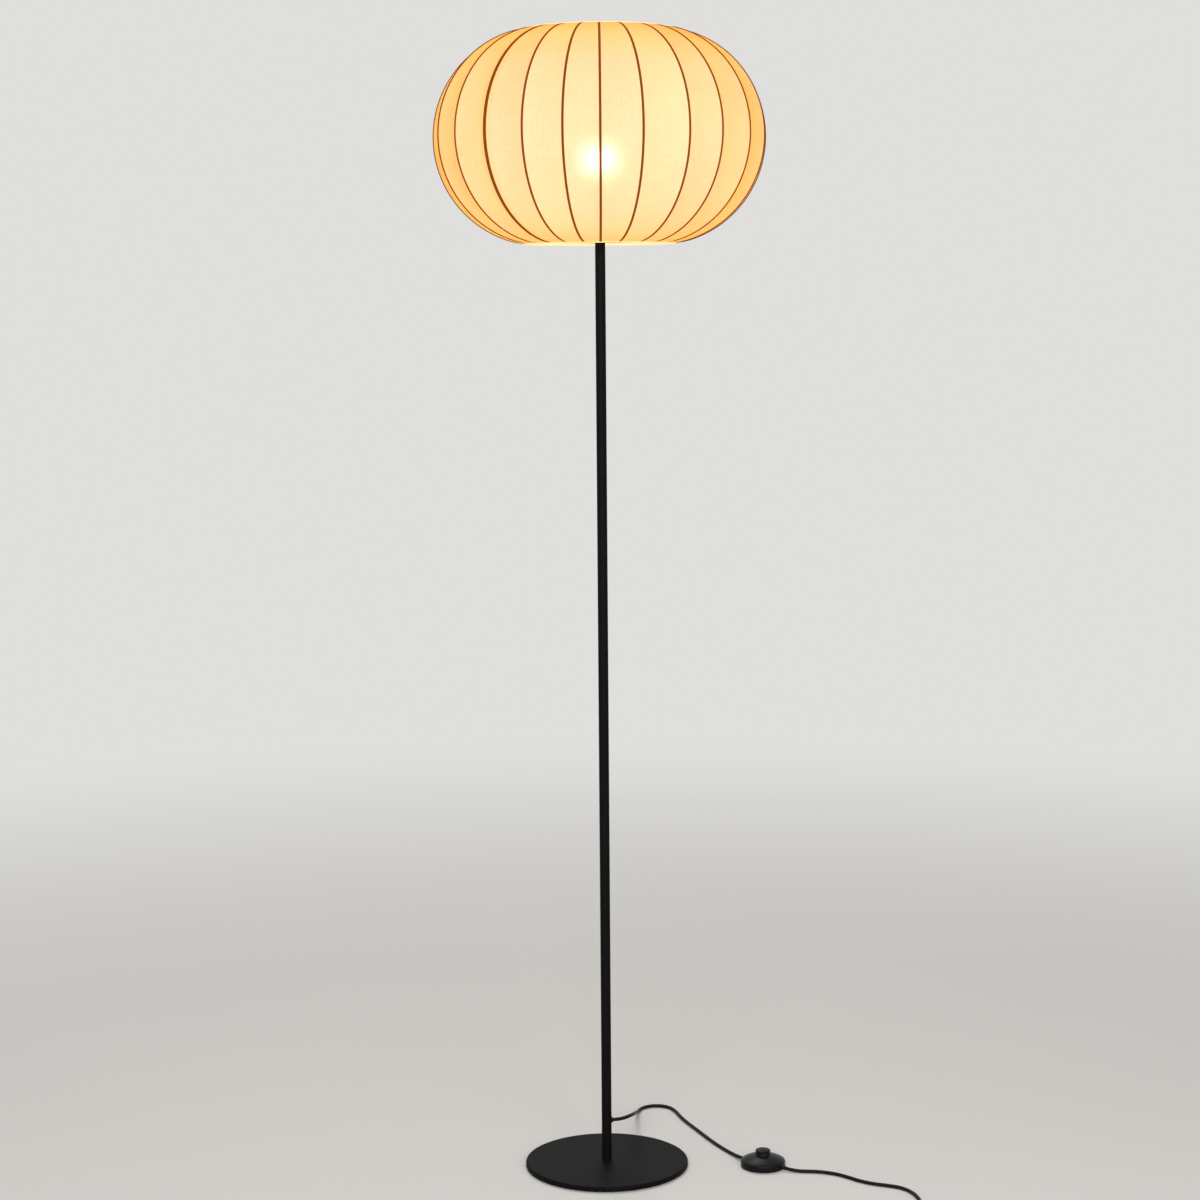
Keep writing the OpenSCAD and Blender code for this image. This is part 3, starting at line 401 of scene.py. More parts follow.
black_paint = surface(
    "black_powder_coat", (0.003, 0.003, 0.0033), (0.006, 0.006, 0.0063),
    grain=1400, rough=(0.5, 0.62), depth_mm=0.02, Specular_IOR_Level=0.12, IOR=1.3,
)
zinc = surface(
    "zinc_plate", (0.52, 0.53, 0.55), (0.66, 0.66, 0.67),
    grain=900, rough=(0.28, 0.42), depth_mm=0.01, Metallic=1.0,
)
nickel = surface(
    "nickel_plate", (0.66, 0.64, 0.60), (0.74, 0.72, 0.68),
    grain=700, rough=(0.16, 0.26), depth_mm=0.004, Metallic=1.0,
)
brass = surface(
    "brass", (0.70, 0.52, 0.24), (0.80, 0.62, 0.33),
    grain=700, rough=(0.24, 0.38), depth_mm=0.006, Metallic=1.0,
)
copper = surface(
    "copper", (0.62, 0.29, 0.16), (0.74, 0.38, 0.22),
    grain=900, rough=(0.28, 0.4), depth_mm=0.006, Metallic=1.0,
)
brown_paint = surface(
    "brown_wire_paint", (0.105, 0.052, 0.022), (0.16, 0.082, 0.036),
    grain=1500, rough=(0.36, 0.5), depth_mm=0.012,
)
carrier_steel = surface(
    "carrier_wire", (0.5, 0.47, 0.42), (0.62, 0.59, 0.54),
    grain=1100, rough=(0.3, 0.44), depth_mm=0.01, Metallic=1.0,
)
ceramic = surface(
    "ceramic", (0.78, 0.76, 0.70), (0.86, 0.84, 0.79),
    grain=1300, rough=(0.4, 0.6), depth_mm=0.02,
)
white_plastic = surface(
    "white_plastic", (0.80, 0.79, 0.76), (0.86, 0.85, 0.83),
    grain=1600, rough=(0.34, 0.46), depth_mm=0.008,
)
black_plastic = surface(
    "black_plastic", (0.006, 0.006, 0.0065), (0.010, 0.010, 0.0105),
    grain=1900, rough=(0.4, 0.54), depth_mm=0.012, Specular_IOR_Level=0.2, IOR=1.35,
)
gloss_black = surface(
    "switch_shell", (0.004, 0.004, 0.0045), (0.007, 0.007, 0.0075),
    grain=1500, rough=(0.30, 0.38), depth_mm=0.004, Specular_IOR_Level=0.2, IOR=1.35,
)
foam = surface(
    "foam", (0.035, 0.035, 0.036), (0.06, 0.06, 0.062),
    grain=1500, rough=(0.8, 0.95), depth_mm=0.15,
)

SHEATH = (0.005, 0.005, 0.0055)
SHEATH_WORN = (0.009, 0.009, 0.0095)
DUST = (0.022, 0.021, 0.020)
# How fast the lay of the twisted cores turns round the cord and along it, in radians a metre
TWIST_ROUND = 800.0
TWIST_ALONG = 260.0


def cord_finish():
    """Smooth plastic over twisted cores: a faint lay along the cord, dull and bright spells,
    and a little dust."""
    material, tree, shader = blank("cord_sheath")
    lay, around, along = laid_out(tree)
    streak = noise(tree, lay, 60.0, roughness=0.6, stretch=(14, 1, 1))
    specks = noise(tree, object_place(tree), 130.0, detail=4.0, roughness=0.7)
    dust = remap(tree, specks, 0.62, 0.8, 0.0, 0.3)
    colour = blend_colour(tree, streak, SHEATH, SHEATH_WORN)
    twist = math_node(
        tree, "ADD",
        math_node(tree, "MULTIPLY", around, TWIST_ROUND),
        math_node(tree, "MULTIPLY", along, TWIST_ALONG),
    )
    wave = math_node(tree, "SINE", twist)
    fill(
        tree, shader, Specular_IOR_Level=0.2, IOR=1.35,
        Base_Color=blend_colour(tree, dust, colour, DUST),
        Roughness=remap(tree, streak, *NOISE_RANGE, 0.4, 0.55),
        Normal=bump(tree, wave, 0.05, under=bump(tree, streak, 0.02)),
    )
    return material


cord_sheath = cord_finish()

# What the lit cloth gives off: in its middle, towards both ends, and below the top opening
GLOW = (0.69, 0.35, 0.26)
GLOW_ENDS = (0.80, 0.38, 0.305)
GLOW_TOP = (0.76, 0.325, 0.19)
CLOTH = (0.51, 0.50, 0.48)
CLOTH_DEPTH = (1.0, 0.94, 0.67)
LINING_GLOW = (0.66, 0.50, 0.28)
# Along each rib: the dark wire seen through the cloth, and its shadow painted into the cloth's colour and
# into its glow
RIB_LINE_AND_SHADOW = (0.035, 0.012, 0.001)
RIB_SHADOW_GLOW = (0.19, 0.040, 0.0)
# Beside the seam that closes the cover: the glow painted dimmer and more orange, as the shade of the cloth
# folded there
FOLD_SHADED_GLOW = (0.72, 0.25, 0.07)
# Where those tones change: distances from the nearest rib, and up the arc from the belt
RIB_SHADOW = (0.00140, 0.00195)
ENDS_FROM_TO = (0.030, 0.150)
TOP_FROM_TO = (0.085, 0.140)
LINING_DIMS = (0.130, 0.185)
LINING_LEFT = 0.2
# Threads: how many a metre along X, Y and Z in the upright slubs and the level picks
SLUBS = (520, 520, 16)
PICKS = (50, 50, 600)
SLUB_SHARE = 0.7
THREAD_TONES = (0.90, 1.06)
CLOUD_TONES = (-0.035, 0.03)
THREAD_PITCH = 0.0007
THREAD_DEPTH_MM = 0.12
# Both faces of the cloth: dull, with some light let through between the threads
THIN_CLOTH = {
    "Emission_Strength": 1.0, "Roughness": 0.28, "IOR": 1.2, "Specular_IOR_Level": 0.0,
    "Transmission_Weight": 0.3,
}


def thread_tones(tree):
    """How bright the cloth is: thick and thin threads in upright streaks, slow clouds, and
    the panel's own tone. Returned with the threads alone, for their relief."""
    place = object_place(tree)
    slubs = noise(tree, place, 1.0, roughness=0.6, stretch=SLUBS)
    picks = noise(tree, place, 1.0, roughness=0.6, stretch=PICKS)
    clouds = noise(tree, place, 8.0, roughness=0.5)
    threads = weighted(tree, slubs, SLUB_SHARE, picks)
    fine = remap(tree, threads, *NOISE_RANGE, *THREAD_TONES)
    shade = math_node(tree, "ADD", fine, remap(tree, clouds, *NOISE_RANGE, *CLOUD_TONES))
    return math_node(tree, "MULTIPLY", shade, face_value(tree, "tone")), threads


def cloth_finish():
    """Thin cloth with a lamp behind it: its own colour, and the warm glow that comes through.
    Along each rib the colour and the glow are painted dark, for the wire that the cloth is sewn to
    and the shadow that it casts on the cloth. Beside the seam that closes the cover the glow is
    painted dimmer and more orange, as the shade of the cloth folded there. A little light gets
    between the threads, spread by them, so the bulb shows as a soft bright patch. The coat
    stands for the cloth's depth: the more slantwise it is seen, the more blue it takes."""
    material, tree, shader = blank("shade_cloth")
    _, to_rib, up = laid_out(tree)
    shade, threads = thread_tones(tree)
    rib = remap(tree, to_rib, *RIB_SHADOW, 1.0, 0.0, smooth=True)
    ends = remap(tree, math_node(tree, "ABSOLUTE", up), *ENDS_FROM_TO, smooth=True)
    top = remap(tree, up, *TOP_FROM_TO, smooth=True)
    glow = blend_colour(tree, ends, GLOW, GLOW_ENDS)
    glow = blend_colour(tree, top, glow, GLOW_TOP)
    # Beside the closing seam the glow is painted dimmer and more orange: painted shade of the folded cloth
    glow = blend_colour(tree, face_value(tree, "closing"), glow, FOLD_SHADED_GLOW)
    glow = blend_colour(tree, 1.0, glow, shade, "MULTIPLY")
    base = blend_colour(tree, 1.0, CLOTH, shade, "MULTIPLY")
    warp = math_node(tree, "SINE", phase(tree, to_rib, THREAD_PITCH))
    weft = math_node(tree, "SINE", phase(tree, up, THREAD_PITCH))
    weave = math_node(tree, "MULTIPLY", warp, weft)
    fill(
        tree, shader, **THIN_CLOTH,
        # Along each rib the colour and the glow are painted dark, for the wire behind the cloth and its
        # shadow
        Emission_Color=blend_colour(tree, rib, glow, RIB_SHADOW_GLOW),
        Base_Color=blend_colour(tree, rib, base, RIB_LINE_AND_SHADOW),
        Coat_Weight=1.0, Coat_Roughness=0.9, Coat_IOR=1.04, Coat_Tint=rgba(CLOTH_DEPTH),
        Normal=bump(tree, weave, 0.03, under=bump(tree, threads, THREAD_DEPTH_MM)),
    )
    return material


def lining_finish():
    """The same cloth's inner face, which the bulb lights, and lights less near the top."""
    material, tree, shader = blank("shade_lining")
    _, _, up = laid_out(tree)
    shade, threads = thread_tones(tree)
    dim = remap(tree, up, *LINING_DIMS, 1.0, LINING_LEFT, smooth=True)
    lit = math_node(tree, "MULTIPLY", shade, dim)
    fill(
        tree, shader, **THIN_CLOTH,
        Emission_Color=blend_colour(tree, 1.0, LINING_GLOW, lit, "MULTIPLY"),
        Base_Color=blend_colour(tree, 1.0, CLOTH, shade, "MULTIPLY"),
        Normal=bump(tree, threads, THREAD_DEPTH_MM),
    )
    return material


TAPE_TONES = ((0.62, 0.50, 0.30), (0.82, 0.73, 0.53))
TAPE_GLOWS = ((0.66, 0.44, 0.19), (0.86, 0.66, 0.34))
TWILL_ALONG = 0.0011
TWILL_ACROSS = 0.0009


def tape_finish():
    """Woven binding tape with the glow behind it: a herringbone of threads, and frayed tones."""
    material, tree, shader = blank("binding_tape")
    _, along, across = laid_out(tree)
    along, across = phase(tree, along, TWILL_ALONG), phase(tree, across, TWILL_ACROSS)
    twill = math_node(tree, "SINE", math_node(tree, "ADD", along, across))
    fray = noise(tree, object_place(tree), 420.0, detail=4.0, roughness=0.65)
    amount = math_node(tree, "ADD", math_node(tree, "MULTIPLY", twill, 0.12), fray)
    fill(
        tree, shader, Emission_Strength=0.9, Roughness=0.9,
        Base_Color=blend_colour(tree, amount, *TAPE_TONES),
        Emission_Color=blend_colour(tree, amount, *TAPE_GLOWS),
        Normal=bump(tree, twill, 0.06, under=bump(tree, fray, 0.1)),
    )
    return material


BULB_LIGHT = (1.0, 0.93, 0.85)
BULB_DEPTH = (0.28, 0.28, 0.28)
BULB_STRENGTH = 125.0
OPAL_TONES = ((0.8, 0.78, 0.7), (0.86, 0.84, 0.78))
# Heights over which the globe dims at its crown, and the collar below it comes alight
GLOBE_DIMS = (1.414, 1.438)
COLLAR_LIGHTS = (1.382, 1.400)


def lit_finish(name, heights, shares):
    """Frosted plastic with the light deep inside it, so that it is brightest where it is seen
    square on. Its strength changes with the height in the lamp: from the first share to the
    second over the two heights."""
    material, tree, shader = blank(name)
    place = object_place(tree)
    uneven = remap(tree, noise(tree, place, 60.0, detail=2.0), *NOISE_RANGE, 0.96, 1.0)
    z = add(tree, "ShaderNodeSeparateXYZ", Vector=place).outputs["Z"]
    share = math_node(tree, "MULTIPLY", uneven, remap(tree, z, *heights, *shares, smooth=True))
    fill(
        tree, shader, Emission_Strength=BULB_STRENGTH, Roughness=0.35,
        Emission_Color=blend_colour(tree, 1.0, BULB_LIGHT, share, "MULTIPLY"),
        Base_Color=blend_colour(tree, uneven, *OPAL_TONES),
        Coat_Weight=1.0, Coat_Roughness=0.5, Coat_IOR=1.02, Coat_Tint=rgba(BULB_DEPTH),
    )
    return material


STRAP_TONES = ((0.010, 0.010, 0.011), (0.05, 0.05, 0.052))


def strap_finish():
    """A hook and loop strap: a felt of fine loops over a ribbed weave."""
    material, tree, shader = blank("strap_weave")
    place = object_place(tree)
    loops = add(tree, "ShaderNodeTexVoronoi", Vector=place, Scale=1800.0).outputs[0]
    fluff = noise(tree, place, 2400.0, detail=4.0, roughness=0.7)
    amount = math_node(tree, "MULTIPLY", loops, fluff)
    fill(
        tree, shader, Roughness=0.92,
        Base_Color=blend_colour(tree, remap(tree, amount, 0.0, 0.5), *STRAP_TONES),
        Normal=bump(tree, amount, 0.25),
    )
    return material


# Shade

GORES = 24
ARC_R = 0.144
ARC_C = 0.081
HOOP_R = 0.103
COVER_END_R = 0.1021
RIB_ARC_R = 0.14155
COVER_END = math.acos((COVER_END_R - ARC_C) / ARC_R)
hoop_low, hoop_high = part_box("top_hoop")
SHADE_Z = (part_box("bottom_hoop")[0].z + hoop_high.z) / 2
HOOP_RISE = (hoop_low.z + hoop_high.z) / 2 - SHADE_Z
CLOTH_T = 0.0006
# How far a panel is drawn in between its ribs, and how much that differs among the panels
SAG = 0.0022
SAG_VARIES = 0.25
# The thread over a rib: it eases down to a share of its rise over an angle at the cloth's end
SEAM_RISE = 0.0010
SEAM_HALF = 0.0013
SEAM_EASE = 0.10
SEAM_LEFT = 0.25
ROWS = 59
# Where a panel has points: these distances from the rib at each side, and shares between
BESIDE_RIB = np.array([0.0004, 0.00075, 0.0010, 0.0012, 0.00132, 0.0019, 0.0034])
BETWEEN = np.linspace(0, 1, 9)[1:-1]
# The rib with the closing seam over it, where the shade painted beside it for the folded cloth starts and
# how wide it is, and the stretch of the dark line painted over the rib
CLOSING_RIB = 15
FOLD_SHADE_AT = 0.0022
FOLD_SHADE_W = 0.0022
CLOSING_STRETCH = 0.58
# How much the panels' tones differ, in a wave that steps on by so many radians a panel, and
# by chance
TONE_WAVE = 0.010
TONE_STEP = 2.4
TONE_LUCK = 0.006
# Degrees by which the front ribs stand off their even places, from the left side to the right
FRONT_SHIFT = [0, 2.7, 2.8, 3.6, 3.8, 2.9, 0.3, -0.5, 1.2, 0.4, 2.0, 4.5]
rib_angles = 2 * np.pi * np.arange(GORES + 1) / GORES
rib_angles[GORES // 2 : GORES] += np.radians(FRONT_SHIFT)
gore_widths = np.diff(rib_angles)
luck_of_panel = luck.uniform(-1, 1, GORES)


def columns(chord):
    """Shares of a panel's width, for each width, from its first rib to just short of the next."""
    near = BESIDE_RIB / chord
    middle = near[..., -1:] + (1 - 2 * near[..., -1:]) * BETWEEN
    return np.concatenate([0 * chord, near, middle, 1 - near[..., ::-1]], -1)


def cloth_surface(inset):
    """The cloth's surface, inset from its outer face. At the angle a up the arc, the ribs
    stand at radius R = c + r cos a and height r sin a. A panel runs straight from rib to rib
    and is drawn in by sag * 4u(1-u) * (1 - (a/A)^2)^1.5. Over each wire it rises by
    rise * sqrt(1 - (d/w)^2), d being the distance from the rib."""
    a = np.linspace(-COVER_END, COVER_END, ROWS)[:, None, None]
    gore = np.arange(GORES)[None, :, None]
    r = ARC_R - inset
    rib_r = ARC_C + r * np.cos(a)
    chord = 2 * rib_r * np.sin(gore_widths[gore] / 2)
    u = columns(chord)
    to_rib = np.minimum(u, 1 - u) * chord
    f0, f1 = rib_angles[gore], rib_angles[gore + 1]
    x = rib_r * ((1 - u) * np.cos(f0) + u * np.cos(f1))
    y = rib_r * ((1 - u) * np.sin(f0) + u * np.sin(f1))
    z = r * np.sin(a) + 0 * x
    slack = 1 + SAG_VARIES * luck_of_panel[gore]
    draw = SAG * slack * 4 * u * (1 - u) * np.clip(1 - (a / COVER_END) ** 2, 0, 1) ** 1.5
    flat_end = np.clip((COVER_END - np.abs(a)) / SEAM_EASE, SEAM_LEFT, 1)
    rise = SEAM_RISE * flat_end * np.sqrt(np.clip(1 - (to_rib / SEAM_HALF) ** 2, 0, 1))
    push = (rise if inset == 0 else 0 * rise) - draw
    f = np.arctan2(y, x)
    x = x + push * np.cos(a) * np.cos(f)
    y = y + push * np.cos(a) * np.sin(f)
    z = z + push * np.sin(a) + SHADE_Z
    points = np.stack([x, y, z], -1).reshape(ROWS, -1, 3)
    return points, to_rib.reshape(ROWS, -1), ARC_R * a[:, 0, 0]


def shade_cloth():
    """The outer and the inner face of the cloth, joined round both openings. The UVs hold the
    distance to the nearest rib and the height along the arc. Over the seam that closes the cover,
    on one rib, the painted dark line of the wire and its shadow is wider, and beside it a painted
    shade stands for the cloth folded there: exp(-((d - at) / w)^2) at the distance d from the rib,
    and 1 up to where the folded cloth starts."""
    outer, to_rib, up = cloth_surface(0.0)
    inner, _, _ = cloth_surface(CLOTH_T)
    grid = np.concatenate([outer, inner[::-1]])
    rows, cols = grid.shape[:2]
    per_gore = cols // GORES
    from_closing = (np.arange(cols) / per_gore - CLOSING_RIB + 0.5) % GORES
    at_closing = from_closing < 1
    # The shade painted beside the closing seam, where the cloth lies folded
    fold_shade = np.exp(-((np.clip(to_rib - FOLD_SHADE_AT, 0, 1) / FOLD_SHADE_W) ** 2)) * at_closing
    fold_shade = np.concatenate([fold_shade, fold_shade[::-1]])
    fold_shade = (fold_shade + np.roll(fold_shade, -1, 1)) / 2
    u = np.where(at_closing, to_rib * CLOSING_STRETCH, to_rib)
    u = np.concatenate([u, u[::-1]])
    u = np.concatenate([u, u[:, :1]], 1)
    u = np.concatenate([u, u[:1]])
    v = np.concatenate([up, up[::-1], up[:1]])[:, None]
    made = piece("shade_cloth", grid, quads(rows, cols, ring_rows=True), corner_uv(u, v), 70)
    tone = 1 + TONE_WAVE * np.sin(np.arange(GORES) * TONE_STEP) + TONE_LUCK * luck_of_panel
    face_values(made, "tone", np.broadcast_to(np.repeat(tone, per_gore), (rows, cols)).ravel())
    face_values(made, "closing", fold_shade.ravel())
    made.data.materials.append(cloth_finish())
    made.data.materials.append(lining_finish())
    inside = np.repeat(np.arange(rows) >= len(outer), cols)
    made.data.polygons.foreach_set("material_index", inside.astype(np.int32))
    return made


def arc_z(r, arc):
    """Height on the arc at a radius: sqrt(arc^2 - (r - c)^2)."""
    return np.sqrt(arc**2 - (r - ARC_C) ** 2)


# The binding tape: its thickness and width, where it stands inside the hoop, the turn over the
# cloth's edge, the arc that it lies on, and the share of its thickness left at its edges
HEM_T = 0.0006
HEM_W = 0.005
HEM_IN_R = 0.0998
HEM_TURN_R = 0.0009
HEM_ARC_R = ARC_R + 0.0005
HEM_EDGE = 0.45
HEM_STEPS = 288
# The waves of its edge: how deep, how many round the opening, and how far on, and the width
# over which they set in
HEM_WAVES = ((0.00012, GORES, 0), (0.00008, 61, 1), (0.00006, 97, 0))
HEM_EASE = 0.002

# Its stitches: how many, where, their half length and stray as shares of the pitch, their
# thickness, how far their ends are sunk in the tape, and how high their middles stand
STITCHES = 136
STITCH_AT_R = 0.1029
STITCH_HALF = 0.33
STITCH_STRAY = 0.06
STITCH_R = 0.00022
STITCH_SUNK = 0.0001
STITCH_LIFT = 0.00025
STITCH_RINGS = 6
STITCH_SIDES = 6


def binding_profile():
    """The tape's section: up inside the hoop, over the cloth's edge and out along the arc."""
    corner_r = HEM_IN_R + HEM_TURN_R
    corner_z = arc_z(corner_r, HEM_ARC_R) - HEM_TURN_R
    up = np.linspace(HOOP_RISE, corner_z, 5)
    inside = np.stack([np.full(5, HEM_IN_R), up], -1)
    q = np.linspace(np.pi, np.pi / 2, 6)[1:-1]
    corner = np.array([corner_r, corner_z]) + HEM_TURN_R * np.stack([np.cos(q), np.sin(q)], -1)
    r = np.linspace(corner_r, HEM_IN_R + HEM_W, 7)
    over = np.stack([r, arc_z(r, HEM_ARC_R)], -1)
    middle = np.vstack([inside, corner, over])
    along = np.gradient(middle, axis=0)
    along /= np.linalg.norm(along, axis=1, keepdims=True)
    out = np.stack([-along[:, 1], along[:, 0]], -1) * HEM_T / 2
    out[[0, -1]] *= HEM_EDGE
    return np.vstack([middle + out, (middle - out)[::-1]])


def binding(name, side):
    """The section turned round the opening. Its edge is a little wavy: the sum of
    depth * sin(count f + lag) over three waves, one of them in time with the panels."""
    profile = binding_profile()
    f = circle(HEM_STEPS)
    wave = sum(depth * np.sin(count * f + lag * side) for depth, count, lag in HEM_WAVES)
    reach = np.clip((profile[:, :1] - COVER_END_R) / HEM_EASE, 0, 1)
    profile[:, 1] *= side
    profile[:, 1] += SHADE_Z
    return lathe_piece(name, profile, HEM_STEPS, closed=True, sharp_deg=60, wave=reach * wave)


def stitches(name, side):
    """A running stitch along the tape: short round threads, thin at both ends, each a curve
    that dips into the tape: height = lift * sin(pi t)."""
    t = np.linspace(0, 1, STITCH_RINGS)
    pitch = 2 * np.pi / STITCHES
    thick = STITCH_R * np.sqrt(np.clip(np.sin(np.pi * np.clip(t, 0.04, 0.96)), 0, 1))
    lift = arc_z(STITCH_AT_R, HEM_ARC_R) + HEM_T / 2 - STITCH_SUNK + STITCH_LIFT * np.sin(np.pi * t)
    a = circle(STITCH_SIDES)
    stray = luck.uniform(-STITCH_STRAY, STITCH_STRAY, (STITCHES, 1)) * pitch
    f = np.arange(STITCHES)[:, None] * pitch + stray + (2 * t[None, :] - 1) * (STITCH_HALF * pitch)
    f = f[:, :, None]
    r = STITCH_AT_R + thick[None, :, None] * np.cos(a)[None, None, :] + 0 * f
    z = lift[None, :, None] + thick[None, :, None] * np.sin(a)[None, None, :] + 0 * f
    grid = np.stack([r * np.cos(f), r * np.sin(f), SHADE_Z + side * z], -1)
    ends = grid.mean(2, keepdims=True)[:, [0, -1]] + 0 * grid[:, [0, -1]]
    grid = np.concatenate([ends[:, :1], grid, ends[:, 1:]], 1)
    rows = STITCH_RINGS + 2
    faces = repeated(quads(rows, STITCH_SIDES), STITCHES, rows * STITCH_SIDES)
    return piece(name, grid, faces, sharp_deg=80)


# The weld beads: half sizes outwards, along the hoop and up, and the angle that they lie
# below the hoop's own
BEAD_HALF = (0.0016, 0.0014, 0.0011)
BEAD_BELOW = 0.0095
BEAD_RINGS = 7
BEAD_SIDES = 8


def weld_beads():
    """A small flattened bead of brown paint where each rib meets a hoop: ellipsoids
    (a sin p cos q, b sin p sin q, c cos p) at the ribs' ends."""
    p = np.linspace(0, np.pi, BEAD_RINGS)[:, None]
    q = circle(BEAD_SIDES)[None, :]
    out = (BEAD_HALF[0] * np.sin(p) * np.cos(q))[None]
    along = (BEAD_HALF[1] * np.sin(p) * np.sin(q))[None]
    up = (BEAD_HALF[2] * np.cos(p) + 0 * q)[None]
    end = math.acos((HOOP_R - ARC_C) / math.hypot(HOOP_R - ARC_C, HOOP_RISE)) - BEAD_BELOW
    r = ARC_C + RIB_ARC_R * math.cos(end)
    f = np.tile(rib_angles[:-1], 2)
    z = SHADE_Z + np.repeat([1, -1], GORES) * RIB_ARC_R * math.sin(end)
    at = np.stack([r * np.cos(f), r * np.sin(f), z], -1)
    c, s = np.cos(f)[:, None, None], np.sin(f)[:, None, None]
    x, y = out * c - along * s, out * s + along * c
    grid = np.stack([x, y, up + 0 * x], -1) + at[:, None, None, :]
    faces = repeated(quads(BEAD_RINGS, BEAD_SIDES), 2 * GORES, BEAD_RINGS * BEAD_SIDES)
    return piece("weld_beads", grid, faces, sharp_deg=80)


tape_material = tape_finish()
cloth = shade_cloth()
top_binding = binding("top_binding", 1)
bottom_binding = binding("bottom_binding", -1)
top_stitches = stitches("top_stitches", 1)
bottom_stitches = stitches("bottom_stitches", -1)
beads = weld_beads()


# Foot switch's button and its spring

SWITCH_AT = np.array([0.221, -0.011, 0.0])
SWITCH_TURN = math.radians(-36)
# The crown: its radius and its dome's, the rim's rounding, and the rings cut in it
CROWN_R = 9.4
DOME_R = 60
RIM_R = 1.1
RINGS = (3.4, 5.4, 7.4)
RING_DEPTH = 0.28
RING_HALF = 0.34
FLANGE_H = 1.4
CROWN_T = 4
BUTTON_STEPS = 96
SPRING_R = 4.5
SPRING_WIRE_D = 0.8
SPRING_CURLS = 6
SPRING_STEPS = 24
SPRING_SIDES = 8


def at_switch(grid):
    """From the switch's own axes to the lamp's: a turn about Z, and a shift."""
    c, s = math.cos(SWITCH_TURN), math.sin(SWITCH_TURN)
    turn = np.array([[c, -s, 0], [s, c, 0], [0, 0, 1]])
    return grid @ turn.T + SWITCH_AT


def round_corner(centre, r, start_deg, end_deg, n):
    """Points on a quarter or less of a circle."""
    a = np.radians(np.linspace(start_deg, end_deg, n))
    return np.stack([centre[0] + r * np.cos(a), centre[1] + r * np.sin(a)], -1)


def button_profile(foot, top):
    """From the crown's middle outwards and down: a low dome z = top - R + sqrt(R^2 - r^2)
    with three rings cut in it, a rounded rim, the side, the flange and the cup inside."""
    flange_top = foot + FLANGE_H
    r = np.linspace(0, CROWN_R, 80)
    z = top - DOME_R + np.sqrt(DOME_R**2 - r**2)
    for ring in RINGS:
        z = z - RING_DEPTH * np.exp(-(((r - ring) / RING_HALF) ** 4))
    crown = np.stack([r, z], -1)
    rim = round_corner((CROWN_R, z[-1] - RIM_R), RIM_R, 84, 0, 8)
    under = top - CROWN_T
    lower = [[10.5, flange_top + 0.25], [10.75, flange_top]]
    flange = [[12.0, flange_top], [12.2, flange_top - 0.2], [12.2, foot + 0.2], [12.0, foot]]
    cup = [[7.8, foot], [7.6, foot + 0.2], [7.6, under - 0.3], [7.3, under], [0, under]]
    return np.vstack([crown, rim, lower, flange, cup]) * MM


def spring_under_button(foot, head):
    """A round wire on a helix: (R cos 2 pi t, R sin 2 pi t, z + rise t / curls)."""
    t = np.linspace(0, SPRING_CURLS, SPRING_STEPS * SPRING_CURLS + 1)
    z = foot + SPRING_WIRE_D / 2 + (head - foot - SPRING_WIRE_D) * t / SPRING_CURLS
    path = np.stack([SPRING_R * np.cos(2 * np.pi * t), SPRING_R * np.sin(2 * np.pi * t), z], -1)
    return tube_piece("spring_wire", at_switch(path * MM), SPRING_WIRE_D / 2 * MM, SPRING_SIDES)


low_b, high_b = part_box("switch_button")
button_section = button_profile(low_b.z / MM, high_b.z / MM)
button = lathe_piece("button_cap", button_section, BUTTON_STEPS, at_switch, sharp_deg=50)

low_s, high_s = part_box("switch_spring")
spring = spring_under_button(low_s.z / MM, high_s.z / MM)


# Plug

PLUG_AT = (0.25370625, -0.26199375, 0.00685)
# The body's half width, half height and squareness at these distances from its front
BODY_X = [0, 0.35, 1.2, 13.0, 20.2, 27.0, 32.4, 36.0, 38.5]
BODY_W = [11.2, 12.4, 13.1, 17.4, 17.5, 12.6, 7.5, 6.6, 5.3]
BODY_H = [5.2, 6.3, 6.8, 6.8, 6.8, 6.8, 6.6, 6.0, 5.3]
BODY_SQUARE = [3.2, 3.2, 3.4, 3.4, 3.4, 3.2, 2.8, 2.2, 2.0]
# The grip's ribs at both sides, and the grooves round the sleeve
GRIP_FROM_TO = (13, 24)
GRIP_FIRST = 14
GRIP_PITCH = 1.9
GRIP_DEPTH = 0.28
SLEEVE_X = [38.8, 66]
SLEEVE_R = [5.2, 3.45]
GROOVE_FIRST = 39.6
GROOVE_LAST = 63.5
GROOVE_PITCH = 3.4
GROOVE_DEPTH = 0.75
TIP_X = 66.05
TIP_R = 2.55
BODY_STEPS = 78
SLEEVE_STEPS = 110
PLUG_SIDES = 64


def softened(values):
    """Each value averaged with its neighbours, but for the three at each end."""
    kernel = np.array([1, 2, 3, 2, 1]) / 9
    return np.concatenate([values[:3], np.convolve(values, kernel, "same")[3:-3], values[-3:]])


